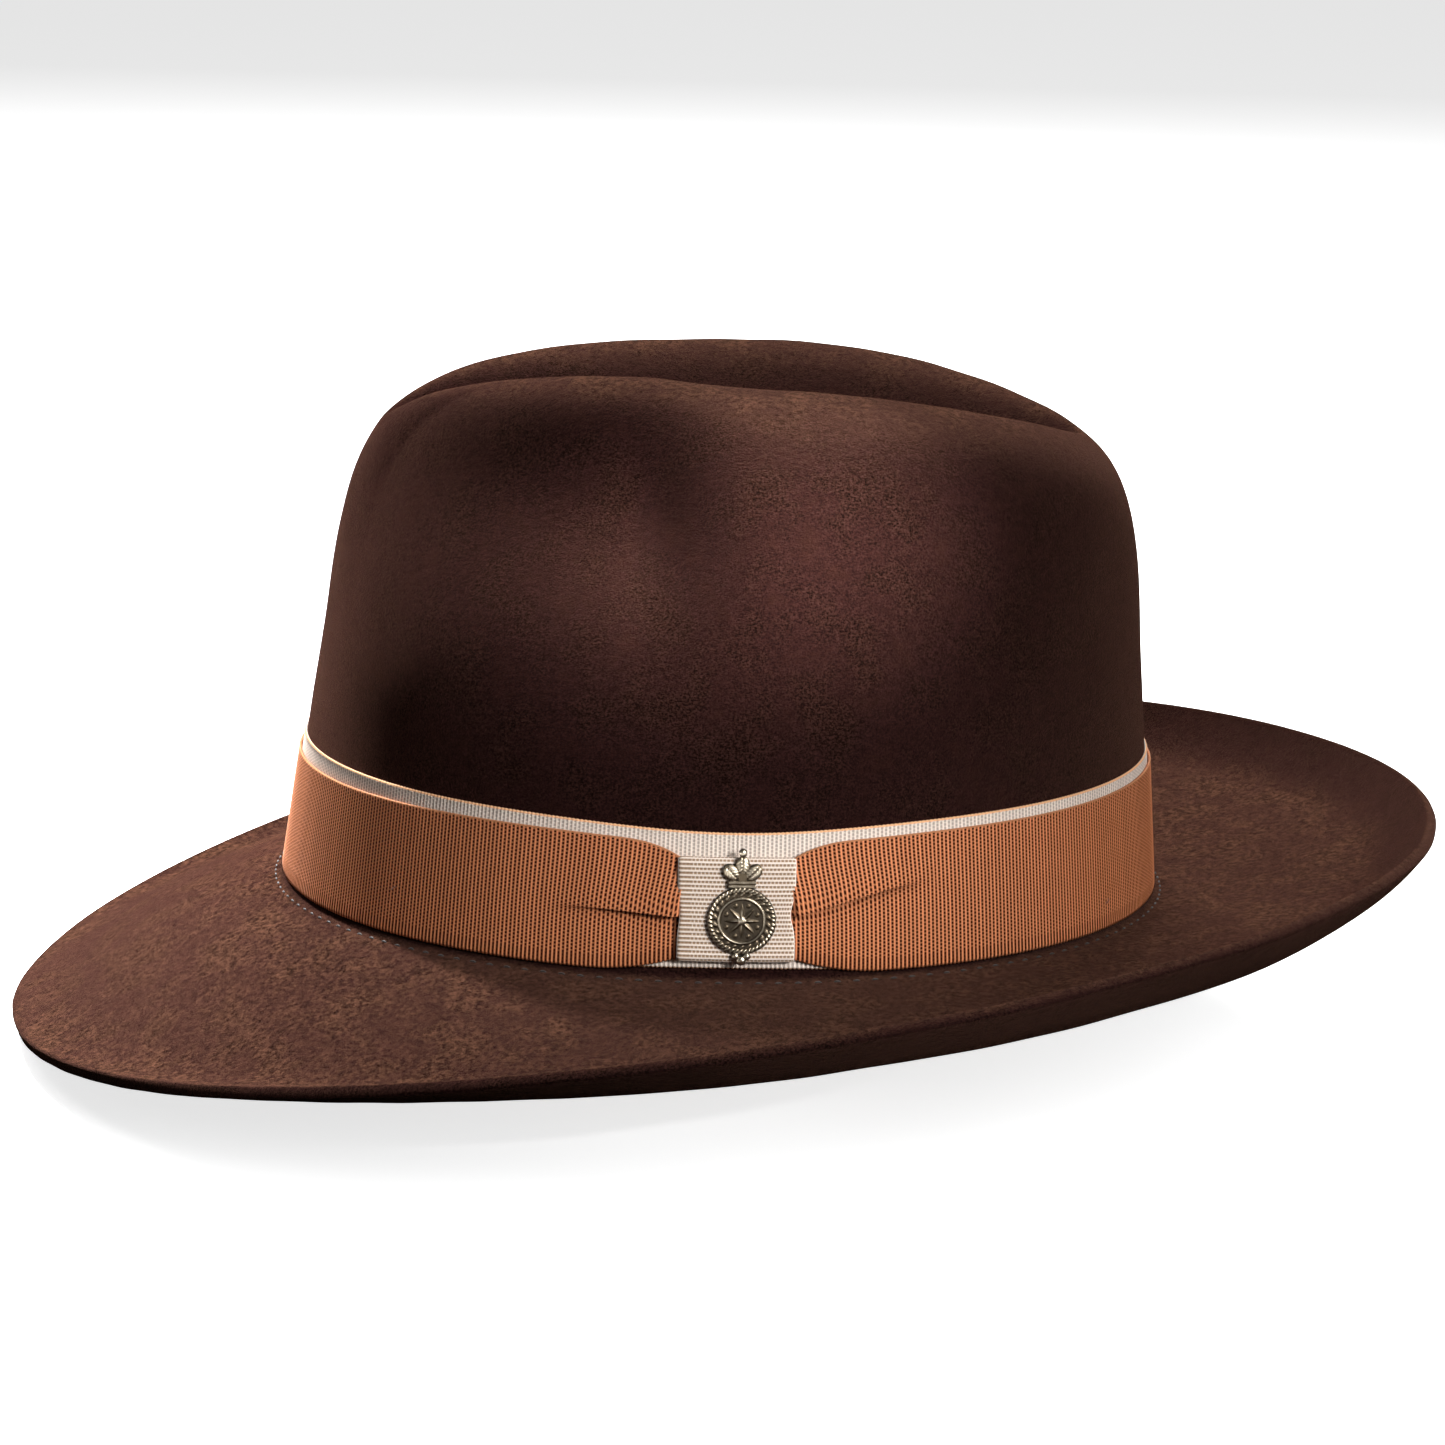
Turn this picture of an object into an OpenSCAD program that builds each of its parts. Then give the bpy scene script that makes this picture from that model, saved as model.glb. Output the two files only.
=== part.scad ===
// Soft felt hat: creased crown, snap brim, two-colour grosgrain band with a flat
// bow and a small metal badge, leather sweatband and satin lining.
// Millimetres. +Z is up, the front of the hat faces -Y, the wearer's left is +X.
// The origin is the centre of the head opening, level with the brim break.

/* [Felt] */
// Half length of the crown at the brim break, front to back
half_length = 105; // [98:1:110]
// Half width of the crown at the brim break
half_width = 89; // [84:1:94]
// Height of the crown's ridges above the brim break
crown_height = 127.9; // [115:0.2:132]
// Thickness of the felt
felt_thickness = 3; // [2:0.5:4]

/* [Crease] */
// Depth of the centre dent below the ridges
dent_depth = 19; // [12:1:24]
// Half width of the centre dent, ridge to centre line
dent_half_width = 22; // [16:1:28]
// Half length of the centre dent
dent_half_length = 83; // [70:1:88]
// Depth of each front pinch
pinch_depth = 17; // [4:1:18]

/* [Brim] */
// Width of the brim at the sides
brim_side_width = 65; // [50:1:70]
// Width of the brim at the front and back
brim_end_width = 66.5; // [50:0.5:70]
// Rise of the brim edge from its middle to the back, and its drop to the front
brim_rise = 24.5; // [10:0.5:30]
// Height of the brim edge's curl at the sides
brim_curl = 11.5; // [0:0.5:16]

/* [Band] */
// Height of the band's lower edge above the brim break
band_bottom = 1.8; // [1.5:0.1:4]
// Height of the cream ribbon's upper edge
band_top = 35.5; // [30:0.5:40]
// Width of the bow's knot along the band
knot_width = 26; // [20:1:30]
// Height of the knot's lower edge
knot_bottom = 4.6; // [4:0.2:8]
// Height of the knot's upper edge
knot_top = 28.6; // [26:0.2:31]

/* [Badge] */
// Radius of the badge's ring
badge_radius = 7.8; // [6:0.2:9]
// Thickness of the badge's plate
badge_thickness = 1; // [0.8:0.1:1.4]
// Radius of each post behind the badge
post_radius = 0.6; // [0.5:0.1:0.8]
// Radial clearance of a post in its bores
post_clearance = 0.05; // [0.03:0.01:0.1]

/* [Inside] */
// Height of the sweatband's free edge
sweatband_top = 46; // [38:1:55]
// Thickness of the sweatband's leather
leather_thickness = 1.2; // [0.8:0.1:1.6]

/* [Hidden] */

felt_colour = [0.30, 0.19, 0.17];
copper_colour = [0.66, 0.39, 0.25];
cream_colour = [0.86, 0.78, 0.72];
leather_colour = [0.42, 0.26, 0.16];
satin_colour = [0.80, 0.70, 0.58];
brass_colour = [0.45, 0.38, 0.24];
thread_colour = [0.45, 0.40, 0.28];

// Every ring is cut at the same angles, so that nested skins stay parallel.
segments = 72;
angles = [for (i = [0 : segments - 1]) 360 * i / segments];
// Rows of the crown, from the break up to just short of the top, closer where it turns in
climb_rows = [0, 8, 16, 24, 31, 37, 42, 47, 52, 57, 62, 66.5, 70.5, 74, 77, 80, 82.5, 84.5, 86.2,
              87.6, 88.8];
top_row = len(climb_rows) - 1;

// Superellipse exponents of the crown's profile at the sides, front and back
profile_side = 4.4;
profile_front = 8.2;
profile_back = 10;
// How much the crown's wall leans in, as a share of the half axes
taper_side = 0.122;
taper_front = 0.156;
taper_back = 0.078;
// How much further the side walls lean in above the band, and where that starts
side_lean = 0.1;
lean_start = 0.28;
// Slope and sag of the ridges from the middle to the ends
ridge_slope = -0.03;
ridge_sag = -0.13;
dent_centre = 0.7;
dent_sharpness = 2.5;
// Each pinch: its centre, how fast it sinks towards the back, and its reach each way
pinch_y = -23;
pinch_z = 101;
pinch_tilt = 0.12;
pinch_front_reach = 110;
pinch_back_reach = 19;
pinch_up_reach = 28;
pinch_fade_width = 30;

// Brim: mean height of the edge, its dip at both ends, and the curl's start
brim_mean = -7;
brim_dip = -5;
brim_end_lift = 1.2;
brim_bend = 1.31;
brim_back_trim = 3;
curl_start = 0.75;
curl_tilt = 0.3;
curl_fade = -0.48;

// Ribbons, measured outward from the felt's surface
base_in = 0.15;
base_out = 0.7;
copper_in = 0.85;
copper_out = 1.5;
knot_back_in = 0.8;
knot_wall = 0.4;
knot_copper_in = 1.4;
knot_copper_out = 2;
knot_front_out = 3.5;
// Height of the cream strip left showing above the copper ribbon
strip_side = 2.3;
strip_front = 4;
strip_back = 2.4;
// How far the knot pulls each edge in, and how far along the band the pull is felt
cream_pull = 1.8;
cream_low_pull = 1.2;
cream_reach = 35;
copper_top_pull = 4.4;
copper_top_reach = 17;
copper_top_power = 2.7;
copper_low_pull = 3.5;
copper_low_reach = 21;
copper_low_power = 2;
// Hand stitches: their size, and the angle round the band and height of each
tack_size = [0.5, 1.4, 0.5];
tack_places = [[-45.8, 12.2], [59.5, 8], [-134.2, 12.2], [120.5, 8]];

// Knot: where it sits on the crown's left side
knot_y = 3.6;
knot_mid = (knot_bottom + knot_top) / 2;
knot_lean = atan(half_width * taper_side / crown_height);
side_bend_radius = half_length * half_length / half_width;
knot_yaw = asin(knot_y / side_bend_radius);
knot_skin = wall_point(asin(knot_y / half_length), knot_mid, 0);

// Badge and its posts, in the knot's own plane
badge_gap = 0.1;
badge_x = 1.2;
badge_y = -2.1;
post_reach = 5;
post_tip = 2.1;
rim_radius = 0.35;
inner_rim_share = 0.66;
pellet_ring_share = 0.82;
pellet_radius = 0.45;
star_half = 2.4;
star_height = 0.5;
star_boss = 0.9;
leaf_bar = [6, 3];
leaf_radius = 1.8;
leaf_relief = 0.2;
leaf_places = [[-2.6, 3], [2.6, 3], [0, 4.9]];
knob_rise = 7.6;
knob_radius = 1.1;
drop_fall = 1.1;
drop_radius = 1.5;
keeper_radius = 2.2;
keeper_thickness = 0.8;
pellets = 20;

// Inside layers, measured inward from the felt's outer surface
lining_gap = 0.6;
lining_thickness = 0.3;
lining_outer = felt_thickness + lining_gap;
lining_inner = lining_outer + lining_thickness;
sweat_outer = lining_inner + 0.55;
sweat_inner = sweat_outer + leather_thickness;
protector_outer = lining_inner + 1;
protector_inner = protector_outer + 0.3;
lining_first_row = 1;
lining_seam_row = 7;
protector_row = 14;
seam_gap = 0.5;
reed_radius = 1;
braid_radius = 0.7;
piping_radius = 0.6;
stitch_pitch = 4.2;
stitch_length = 1.7;
stitch_offset = 2.6;
stitch_width = 0.4;
stitch_height = 0.3;
bow_half_length = 8;
bow_half_width = 3;
bow_knot = [3, 3.6, 1.6];

// A value that varies round the hat between its side, front and back values
function around(t, side, front, back) =
    side * pow(cos(t), 2) + (sin(t) < 0 ? front : back) * pow(sin(t), 2);

// How much narrower the crown is at a share of its height than at the brim
function narrowing(t, climb) =
    let (above = max(climb - lean_start, 0) / (1 - lean_start))
    1 - around(t, taper_side, taper_front, taper_back) * climb
    - side_lean * pow(cos(t) * above, 2);

// Depth share of the pinch at a length and a height
function pinch_share(y, z) =
    let (reach = y < pinch_y ? pinch_front_reach : pinch_back_reach,
         above = z - pinch_z + pinch_tilt * (y - pinch_y))
    exp(-pow((y - pinch_y) / reach, 2) - pow(above / pinch_up_reach, 2));

// A point of the crown at angle t and climb p (0 the break, 90 the top), depth d inside
function crown_point(t, p, d) =
    let (n = around(t, profile_side, profile_front, profile_back),
         climb = pow(max(sin(p), 0), 2 / n),
         reach = pow(max(cos(p), 0), 2 / n) * narrowing(t, climb),
         x0 = (half_width - d) * reach * cos(t),
         y = (half_length - d) * reach * sin(t),
         share = y / half_length,
         dome = (crown_height - d) * climb * (1 + ridge_slope * share + ridge_sag * share * share),
         q = (y - dent_centre) / dent_half_length,
         open = max(1 - q * q, 0.0004),
         across = exp(-pow(abs(x0) / (dent_half_width * sqrt(open)), dent_sharpness)),
         z = dome - dent_depth * sqrt(open) * across * min(max(4 * climb - 3, 0), 1),
         push = pinch_depth * pinch_share(y, z) * min(1, abs(x0) / pinch_fade_width))
    [x0 - sign(x0) * push, y, z];

// A point of the crown's wall at angle t and height z, moved outward
function wall_point(t, z, outward) =
    let (n = around(t, profile_side, profile_front, profile_back),
         climb = max(z, 0) / (crown_height * (1 + ridge_slope * sin(t) + ridge_sag * pow(sin(t), 2))),
         reach = pow(1 - pow(climb, n), 1 / n) * narrowing(t, climb))
    [(half_width * reach + outward) * cos(t), (half_length * reach + outward) * sin(t), z];

// A point of the brim's top at angle t and share v of its width, lowered by drop
function brim_point(t, v, drop) =
    let (s = sin(t),
         width = around(t, brim_side_width, brim_end_width, brim_end_width)
                 - (s > 0 ? brim_back_trim * 4 * pow(s * cos(t), 2) : 0),
         edge = brim_mean + brim_rise * s + brim_dip * s * s + brim_end_lift * pow(s, 4),
         curl = brim_curl * (1 + curl_tilt * s + curl_fade * s * s),
         curled = max((v - curl_start) / (1 - curl_start), 0))
    [(half_width + width * v) * cos(t), (half_length + width * v) * s,
     edge * pow(v, brim_bend) + curl * curled * curled - drop];

// Faces of a grid of rings: each ring has count points, rings are joined in order
function grid_faces(rings, count, wrap) =
    [for (i = [0 : rings - (wrap ? 1 : 2)], j = [0 : count - 1])
        let (a = i * count + j, b = i * count + (j + 1) % count,
             c = ((i + 1) % rings) * count + (j + 1) % count, d = ((i + 1) % rings) * count + j)
        each [[a, b, c], [a, c, d]]];

function flat_list(rows) = [for (row = rows) each row];

// A closed solid whose sections are loops; sections follow each other round or end in caps
module loop_solid(sections, wrap = true) {
    count = len(sections[0]);
    last = (len(sections) - 1) * count;
    caps = wrap ? [] : [[for (j = [count - 1 : -1 : 0]) j], [for (j = [0 : count - 1]) last + j]];
    polyhedron(flat_list(sections), concat(grid_faces(len(sections), count, wrap), caps), 8);
}

// A closed shell: rings from one pole to the other, each pole a single point
module pole_solid(start, rings, end) {
    count = len(rings[0]);
    total = len(rings) * count;
    points = concat(flat_list(rings), [start, end]);
    fans = [for (j = [0 : count - 1])
        each [[total, (j + 1) % count, j],
              [total + 1, total - count + j, total - count + (j + 1) % count]]];
    polyhedron(points, concat(grid_faces(len(rings), count, false), fans), 8);
}

// A skin ring on the crown's wall, between two heights and two outward distances
module band(low, high, inner, outer) {
    loop_solid([for (t = angles)
        [wall_point(t, low, inner), wall_point(t, low, outer),
         wall_point(t, high, outer), wall_point(t, high, inner)]]);
}

// A round cord that follows a closed line of centres and the line's outward direction
module ring_cord(centres, radius, sides = 6) {
    loop_solid([for (i = [0 : segments - 1])
        let (t = angles[i], c = centres[i])
        [for (k = [0 : sides - 1])
            let (a = 360 * k / sides)
            c + radius * [cos(a) * cos(t), cos(a) * sin(t), sin(a)]]]);
}

// Places its children on the knot: X along the band, Y up the crown, Z outward
module on_knot(outward = 0) {
    translate([knot_skin[0], knot_skin[1], knot_mid])
        rotate([0, -knot_lean, knot_yaw])
            rotate([90, 0, 90])
                translate([0, 0, outward])
                    children();
}

module felt_body() {
    outer_shares = [1, 0.97, 0.92, 0.86, 0.78, 0.65, 0.45, 0.2];
    inner_shares = [0, 0.2, 0.45, 0.65, 0.78, 0.86, 0.92, 0.97, 1];
    top = [for (i = [top_row : -1 : 0]) [for (t = angles) crown_point(t, climb_rows[i], 0)]];
    brim_top = [for (i = [len(outer_shares) - 1 : -1 : 0])
        [for (t = angles) brim_point(t, outer_shares[i], 0)]];
    brim_under = [for (i = [len(inner_shares) - 1 : -1 : 1])
        [for (t = angles) brim_point(t, inner_shares[i], felt_thickness)]];
    corner = [[for (t = angles)
        [(half_width - felt_thickness) * cos(t), (half_length - felt_thickness) * sin(t),
         -felt_thickness]]];
    inside = [for (p = climb_rows) [for (t = angles) crown_point(t, p, felt_thickness)]];
    color(felt_colour)
        pole_solid(crown_point(0, 90, 0), concat(top, brim_top, brim_under, corner, inside),
                   crown_point(0, 90, felt_thickness));
}

// The soft dip of the cream ribbon towards the knot: 1 at the knot, 0 away from it
function dip(t) = cos(t) > 0 ? exp(-pow((half_length * sin(t) - knot_y) / cream_reach, 2)) : 0;

function cream_low(t) = band_bottom + cream_low_pull * dip(t);
function cream_high(t) = band_top - cream_pull * dip(t);

// How far the copper ribbon is gathered at angle t: 1 inside the knot, 0 past its reach
function gather(t, reach, power) =
    let (away = max(abs(half_length * sin(t) - knot_y) - knot_width / 2, 0))
    cos(t) > 0 ? pow(max(1 - away / reach, 0), power) : 0;

module base_ribbon() {
    color(cream_colour)
        loop_solid([for (t = angles)
            [wall_point(t, cream_low(t), base_in), wall_point(t, cream_low(t), base_out),
             wall_point(t, cream_high(t), base_out), wall_point(t, cream_high(t), base_in)]]);
}

module copper_ribbon() {
    sections = [for (t = angles)
        let (lift = gather(t, copper_low_reach, copper_low_power),
             low = band_bottom + copper_low_pull * lift,
             high = cream_high(t) - around(t, strip_side, strip_front, strip_back)
                    - copper_top_pull * gather(t, copper_top_reach, copper_top_power),
             inner = copper_in + (knot_copper_in - copper_in) * lift,
             outer = copper_out + (knot_copper_out - copper_out) * lift)
        [wall_point(t, low, inner), wall_point(t, low, outer),
         wall_point(t, high, outer), wall_point(t, high, inner)]];
    color(copper_colour) loop_solid(sections);
}

// The knot is a flattened loop of ribbon, bent round the crown's side
module ribbon_knot() {
    arc = 360 * knot_width / (2 * PI * side_bend_radius);
    height = knot_top - knot_bottom;
    color(cream_colour)
        difference() {
            on_knot(-side_bend_radius)
                rotate([-90, 0, 0])
                    rotate([0, 0, -90 - arc / 2])
                        translate([0, 0, -height / 2])
                            knot_sector(arc, height);
            for (side = [-1, 1])
                on_knot(knot_front_out - 2 * knot_wall)
                    translate([badge_x, badge_y + side * post_reach, 0])
                        cylinder(h = 4 * knot_wall, r = post_radius + post_clearance, $fn = 32);
        }
}

// The knot's sector about the bend's axis, starting on +X, with its hollow
module knot_sector(arc, height) {
    rotate_extrude(angle = arc, $fn = 360)
        translate([side_bend_radius, 0])
            difference() {
                translate([knot_back_in, 0]) square([knot_front_out - knot_back_in, height]);
                translate([knot_back_in + knot_wall, knot_wall])
                    square([knot_front_out - knot_back_in - 2 * knot_wall, height - 2 * knot_wall]);
            }
}

// Hand stitches that hold the ribbons to the felt
module ribbon_tacks() {
    color(copper_colour)
        for (place = tack_places) {
            p = wall_point(place[0], place[1], copper_out + 0.35);
            translate(p)
                rotate([0, 0, place[0]])
                    cube(tack_size, center = true);
        }
}

module badge_plate() {
    color(brass_colour)
        on_knot(knot_front_out + badge_gap)
            translate([badge_x, badge_y, 0]) {
                badge_disc();
                badge_finial();
                badge_drop();
            }
}

// The round part: a disc, two raised rims, a ring of pellets and an eight-point star
module badge_disc() {
    cylinder(h = badge_thickness, r = badge_radius, $fn = 64);
    for (r = [badge_radius - rim_radius, badge_radius * inner_rim_share])
        rotate_extrude($fn = 64)
            translate([r, badge_thickness]) circle(r = rim_radius, $fn = 16);
    for (i = [0 : pellets - 1])
        rotate([0, 0, 360 * i / pellets])
            translate([badge_radius * pellet_ring_share, 0, badge_thickness])
                sphere(r = pellet_radius, $fn = 16);
    for (turn = [0, 45])
        rotate([0, 0, turn])
            translate([-star_half, -star_half, badge_thickness - 0.1])
                cube([2 * star_half, 2 * star_half, star_height]);
    translate([0, 0, badge_thickness]) sphere(r = star_boss, $fn = 24);
}

// The leaf ornament above the ring: three lobes on a bar, and a knob
module badge_finial() {
    translate([-leaf_bar[0] / 2, badge_radius - 0.8, 0])
        cube([leaf_bar[0], leaf_bar[1], badge_thickness + leaf_relief + 0.1]);
    for (leaf = leaf_places)
        translate([leaf[0], badge_radius + leaf[1], 0])
            cylinder(h = badge_thickness + leaf_relief, r = leaf_radius, $fn = 32);
    translate([0, badge_radius + knob_rise, 0])
        cylinder(h = badge_thickness, r = knob_radius, $fn = 24);
}

// The small drop below the ring
module badge_drop() {
    translate([0, -badge_radius - drop_fall, 0])
        cylinder(h = badge_thickness + leaf_relief, r = drop_radius, $fn = 24);
}

module badge_posts() {
    color(brass_colour)
        for (side = [-1, 1])
            on_knot(post_tip)
                translate([badge_x, badge_y + side * post_reach, 0])
                    cylinder(h = knot_front_out + badge_gap - post_tip, r = post_radius, $fn = 32);
}

module badge_keepers() {
    color(brass_colour)
        for (side = [-1, 1])
            on_knot(post_tip + 0.1)
                translate([badge_x, badge_y + side * post_reach, 0])
                    difference() {
                        cylinder(h = keeper_thickness, r = keeper_radius, $fn = 32);
                        translate([0, 0, -1])
                            cylinder(h = keeper_thickness + 2, r = post_radius + post_clearance,
                                     $fn = 32);
                    }
}

module sweatband() {
    color(leather_colour) band(-1.5, sweatband_top, -sweat_inner, -sweat_outer);
}

module sweatband_reed() {
    middle = -(sweat_inner + sweat_outer) / 2;
    centres = [for (t = angles) wall_point(t, -1.6 - reed_radius, middle)];
    color(leather_colour) ring_cord(centres, reed_radius);
}

// The row of stitches through the felt, seen on the brim beside the band
module sweatband_stitches() {
    mean_radius = (half_length + half_width) / 2 + stitch_offset;
    stitches = floor(2 * PI * mean_radius / stitch_pitch);
    color(thread_colour)
        for (i = [0 : stitches - 1]) {
            t = 360 * i / stitches;
            p = brim_point(t, stitch_offset / brim_side_width, 0);
            heading = atan2((half_length + stitch_offset) * cos(t), -(half_width + stitch_offset) * sin(t));
            translate(p + [0, 0, 0.35])
                rotate([0, 0, heading])
                    cube([stitch_length, stitch_width, stitch_height], center = true);
        }
}

module sweatband_seam() {
    inner = -sweat_inner - 1;
    outer = -sweat_inner - 0.2;
    color(leather_colour)
        loop_solid([for (t = [86 : 1 : 94])
            [wall_point(t, 0, inner), wall_point(t, 0, outer),
             wall_point(t, sweatband_top - 4, outer), wall_point(t, sweatband_top - 4, inner)]],
            wrap = false);
}

module sweatband_bow() {
    p = wall_point(90, 8, -sweat_inner - 1.8);
    color(leather_colour)
        translate(p)
            rotate([90, 0, 0]) {
                linear_extrude(1)
                    polygon([[-bow_half_length, -bow_half_width], [0, -1],
                             [bow_half_length, -bow_half_width], [bow_half_length, bow_half_width],
                             [0, 1], [-bow_half_length, bow_half_width]]);
                translate([-bow_knot[0] / 2, -bow_knot[1] / 2, 0]) cube(bow_knot);
            }
}

module lining_side() {
    color(satin_colour)
        loop_solid([for (t = angles)
            concat([for (i = [lining_first_row : lining_seam_row])
                       crown_point(t, climb_rows[i], lining_outer)],
                   [for (i = [lining_seam_row : -1 : lining_first_row])
                       crown_point(t, climb_rows[i], lining_inner)])]);
}

// A cap that follows the inside of the crown's top, between two depths
module crown_cap(first, outer_depth, inner_depth) {
    rows = concat([first], [for (p = climb_rows) if (p > first) p]);
    outer = [for (i = [len(rows) - 1 : -1 : 0]) [for (t = angles) crown_point(t, rows[i], outer_depth)]];
    inner = [for (p = rows) [for (t = angles) crown_point(t, p, inner_depth)]];
    pole_solid(crown_point(0, 90, outer_depth), concat(outer, inner), crown_point(0, 90, inner_depth));
}

module lining_tip() {
    color(satin_colour)
        crown_cap(climb_rows[lining_seam_row] + seam_gap, lining_outer, lining_inner);
}

module lining_braid() {
    depth = lining_inner + braid_radius + 0.15;
    centres = [for (t = angles) crown_point(t, climb_rows[lining_seam_row], depth)];
    color(satin_colour) ring_cord(centres, braid_radius);
}

module tip_protector() {
    color([0.9, 0.93, 0.95, 0.4])
        crown_cap(climb_rows[protector_row], protector_outer, protector_inner);
}

module protector_piping() {
    depth = protector_inner + piping_radius + 0.15;
    centres = [for (t = angles) crown_point(t, climb_rows[protector_row], depth)];
    color(satin_colour) ring_cord(centres, piping_radius);
}

felt_body();
base_ribbon();
copper_ribbon();
ribbon_knot();
ribbon_tacks();
badge_plate();
badge_posts();
badge_keepers();
sweatband();
sweatband_reed();
sweatband_stitches();
sweatband_seam();
sweatband_bow();
lining_side();
lining_tip();
lining_braid();
tip_protector();
protector_piping();
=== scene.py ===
"""Looks of a soft felt hat: felt, grosgrain band and bow, metal badge, leather and satin inside.

Shapes are worked out in millimetres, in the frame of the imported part: +Z up, front at -Y, the
wearer's left at +X, origin in the middle of the head opening. Angles t run from +X towards +Y.
"""

import math

import bmesh
import bpy
import numpy as np
from mathutils import Matrix, Vector


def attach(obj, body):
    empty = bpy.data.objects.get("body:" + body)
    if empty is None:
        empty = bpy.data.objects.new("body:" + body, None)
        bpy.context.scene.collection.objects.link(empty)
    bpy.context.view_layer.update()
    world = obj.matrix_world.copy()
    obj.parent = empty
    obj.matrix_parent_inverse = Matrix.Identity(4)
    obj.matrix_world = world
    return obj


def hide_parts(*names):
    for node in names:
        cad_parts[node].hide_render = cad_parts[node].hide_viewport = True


MM = 0.001
TURN = 2 * math.pi

# Felt
HALF_LENGTH, HALF_WIDTH, CROWN_HEIGHT = 105.0, 89.0, 127.9
FELT_THICKNESS = 3.0
PROFILE = (4.4, 8.2, 10.0)  # superellipse exponent at the sides, front and back
TAPER = (0.122, 0.156, 0.078)
SIDE_LEAN, LEAN_START = 0.10, 0.28  # the side walls lean in further above the band
RIDGE_SLOPE, RIDGE_SAG = -0.030, -0.130
DENT_DEPTH, DENT_HALF_WIDTH, DENT_HALF_LENGTH = 19.0, 22.0, 83.0
DENT_CENTRE, DENT_SHARPNESS = 0.7, 2.5
PINCH_DEPTH, PINCH_Y, PINCH_Z, PINCH_TILT = 17.0, -23.0, 101.0, 0.12
PINCH_FRONT_REACH, PINCH_BACK_REACH, PINCH_UP_REACH = 110.0, 19.0, 28.0
PINCH_FADE_WIDTH = 30.0
BRIM_WIDTH = (65.0, 66.5, 66.5)
BRIM_MEAN, BRIM_RISE, BRIM_DIP, BRIM_END_LIFT = -7.0, 24.5, -5.0, 1.2
BRIM_BEND, BRIM_BACK_TRIM = 1.31, 3.0
CURL_HEIGHT, CURL_START, CURL_TILT, CURL_FADE = 11.5, 0.75, 0.3, -0.48

# Band and knot
BAND_BOTTOM, BAND_MIDDLE, BAND_TOP = 1.8, 18.0, 35.5
CREAM_PULL, CREAM_LOW_PULL, CREAM_REACH = 1.8, 1.2, 35.0
STRIP = (2.3, 4.0, 2.4)
COPPER_TOP_PULL, COPPER_TOP_REACH, COPPER_TOP_POWER = 4.4, 17.0, 2.7
COPPER_LOW_PULL, COPPER_LOW_REACH = 3.5, 21.0
RIB_PITCH = 1.0
KNOT_Y, KNOT_WIDTH, KNOT_BOTTOM, KNOT_TOP = 3.6, 26.0, 4.6, 28.6
KNOT_BACK, KNOT_FRONT, KNOT_WALL = 0.8, 3.5, 0.4
KNOT_MID = (KNOT_BOTTOM + KNOT_TOP) / 2
BEND_RADIUS = HALF_LENGTH**2 / HALF_WIDTH
KNOT_LEAN = math.atan(HALF_WIDTH * TAPER[0] / CROWN_HEIGHT)
KNOT_YAW = math.asin(KNOT_Y / BEND_RADIUS)
KNOT_ANGLE = math.asin(KNOT_Y / HALF_LENGTH)

# Badge, in the knot's plane
BADGE_X, BADGE_Y, BADGE_GAP = 1.2, -2.1, 0.1
BADGE_RADIUS, BADGE_THICKNESS = 7.8, 1.0

# Inside layers, as depths from the felt's outer surface
LINING = (3.6, 3.9)
SWEATBAND = (4.45, 5.65)
PROTECTOR = (4.9, 5.2)
SWEATBAND_TOP = 46.0
SIDE_START, SIDE_END, TIP_START, PROTECTOR_START = 8.0, 47.0, 47.5, 77.0


# ---------------- shapes


def full_turn(count):
    """Angles spread evenly round the hat."""
    return np.arange(count) / count * TURN


def around(t, values):
    """A value that varies round the hat between its side, front and back values."""
    side, front, back = values
    s = np.sin(t)
    return side * np.cos(t) ** 2 + np.where(s < 0, front, back) * s**2


def narrowing(t, climb):
    """How much narrower the crown is at a share of its height than at the brim."""
    above = np.maximum(climb - LEAN_START, 0) / (1 - LEAN_START)
    return 1 - around(t, TAPER) * climb - SIDE_LEAN * np.cos(t) ** 2 * above**2


def pinch_share(y, z):
    reach = np.where(y < PINCH_Y, PINCH_FRONT_REACH, PINCH_BACK_REACH)
    above = z - PINCH_Z + PINCH_TILT * (y - PINCH_Y)
    return np.exp(-(((y - PINCH_Y) / reach) ** 2) - (above / PINCH_UP_REACH) ** 2)


def crown(t, climb_angle, depth):
    """Crown points at angles t and climb angles (0 the break, 90 the top), depth inside."""
    p = np.radians(climb_angle)
    n = around(t, PROFILE)
    climb = np.maximum(np.sin(p), 0) ** (2 / n)
    reach = np.maximum(np.cos(p), 0) ** (2 / n) * narrowing(t, climb)
    x0 = (HALF_WIDTH - depth) * reach * np.cos(t)
    y = (HALF_LENGTH - depth) * reach * np.sin(t)
    share = y / HALF_LENGTH
    dome = (CROWN_HEIGHT - depth) * climb * (1 + RIDGE_SLOPE * share + RIDGE_SAG * share**2)
    q = (y - DENT_CENTRE) / DENT_HALF_LENGTH
    opening = np.sqrt(np.maximum(1 - q * q, 0.0004))
    across = np.exp(-((np.abs(x0) / (DENT_HALF_WIDTH * opening)) ** DENT_SHARPNESS))
    z = dome - DENT_DEPTH * opening * across * np.clip(4 * climb - 3, 0, 1)
    push = PINCH_DEPTH * pinch_share(y, z) * np.minimum(1, np.abs(x0) / PINCH_FADE_WIDTH)
    return triple(x0 - np.sign(x0) * push, y, z)


def crown_top(depth):
    """The point in the middle of the crown's top."""
    return crown(np.zeros(1), np.array([90.0]), depth)[0]


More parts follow.
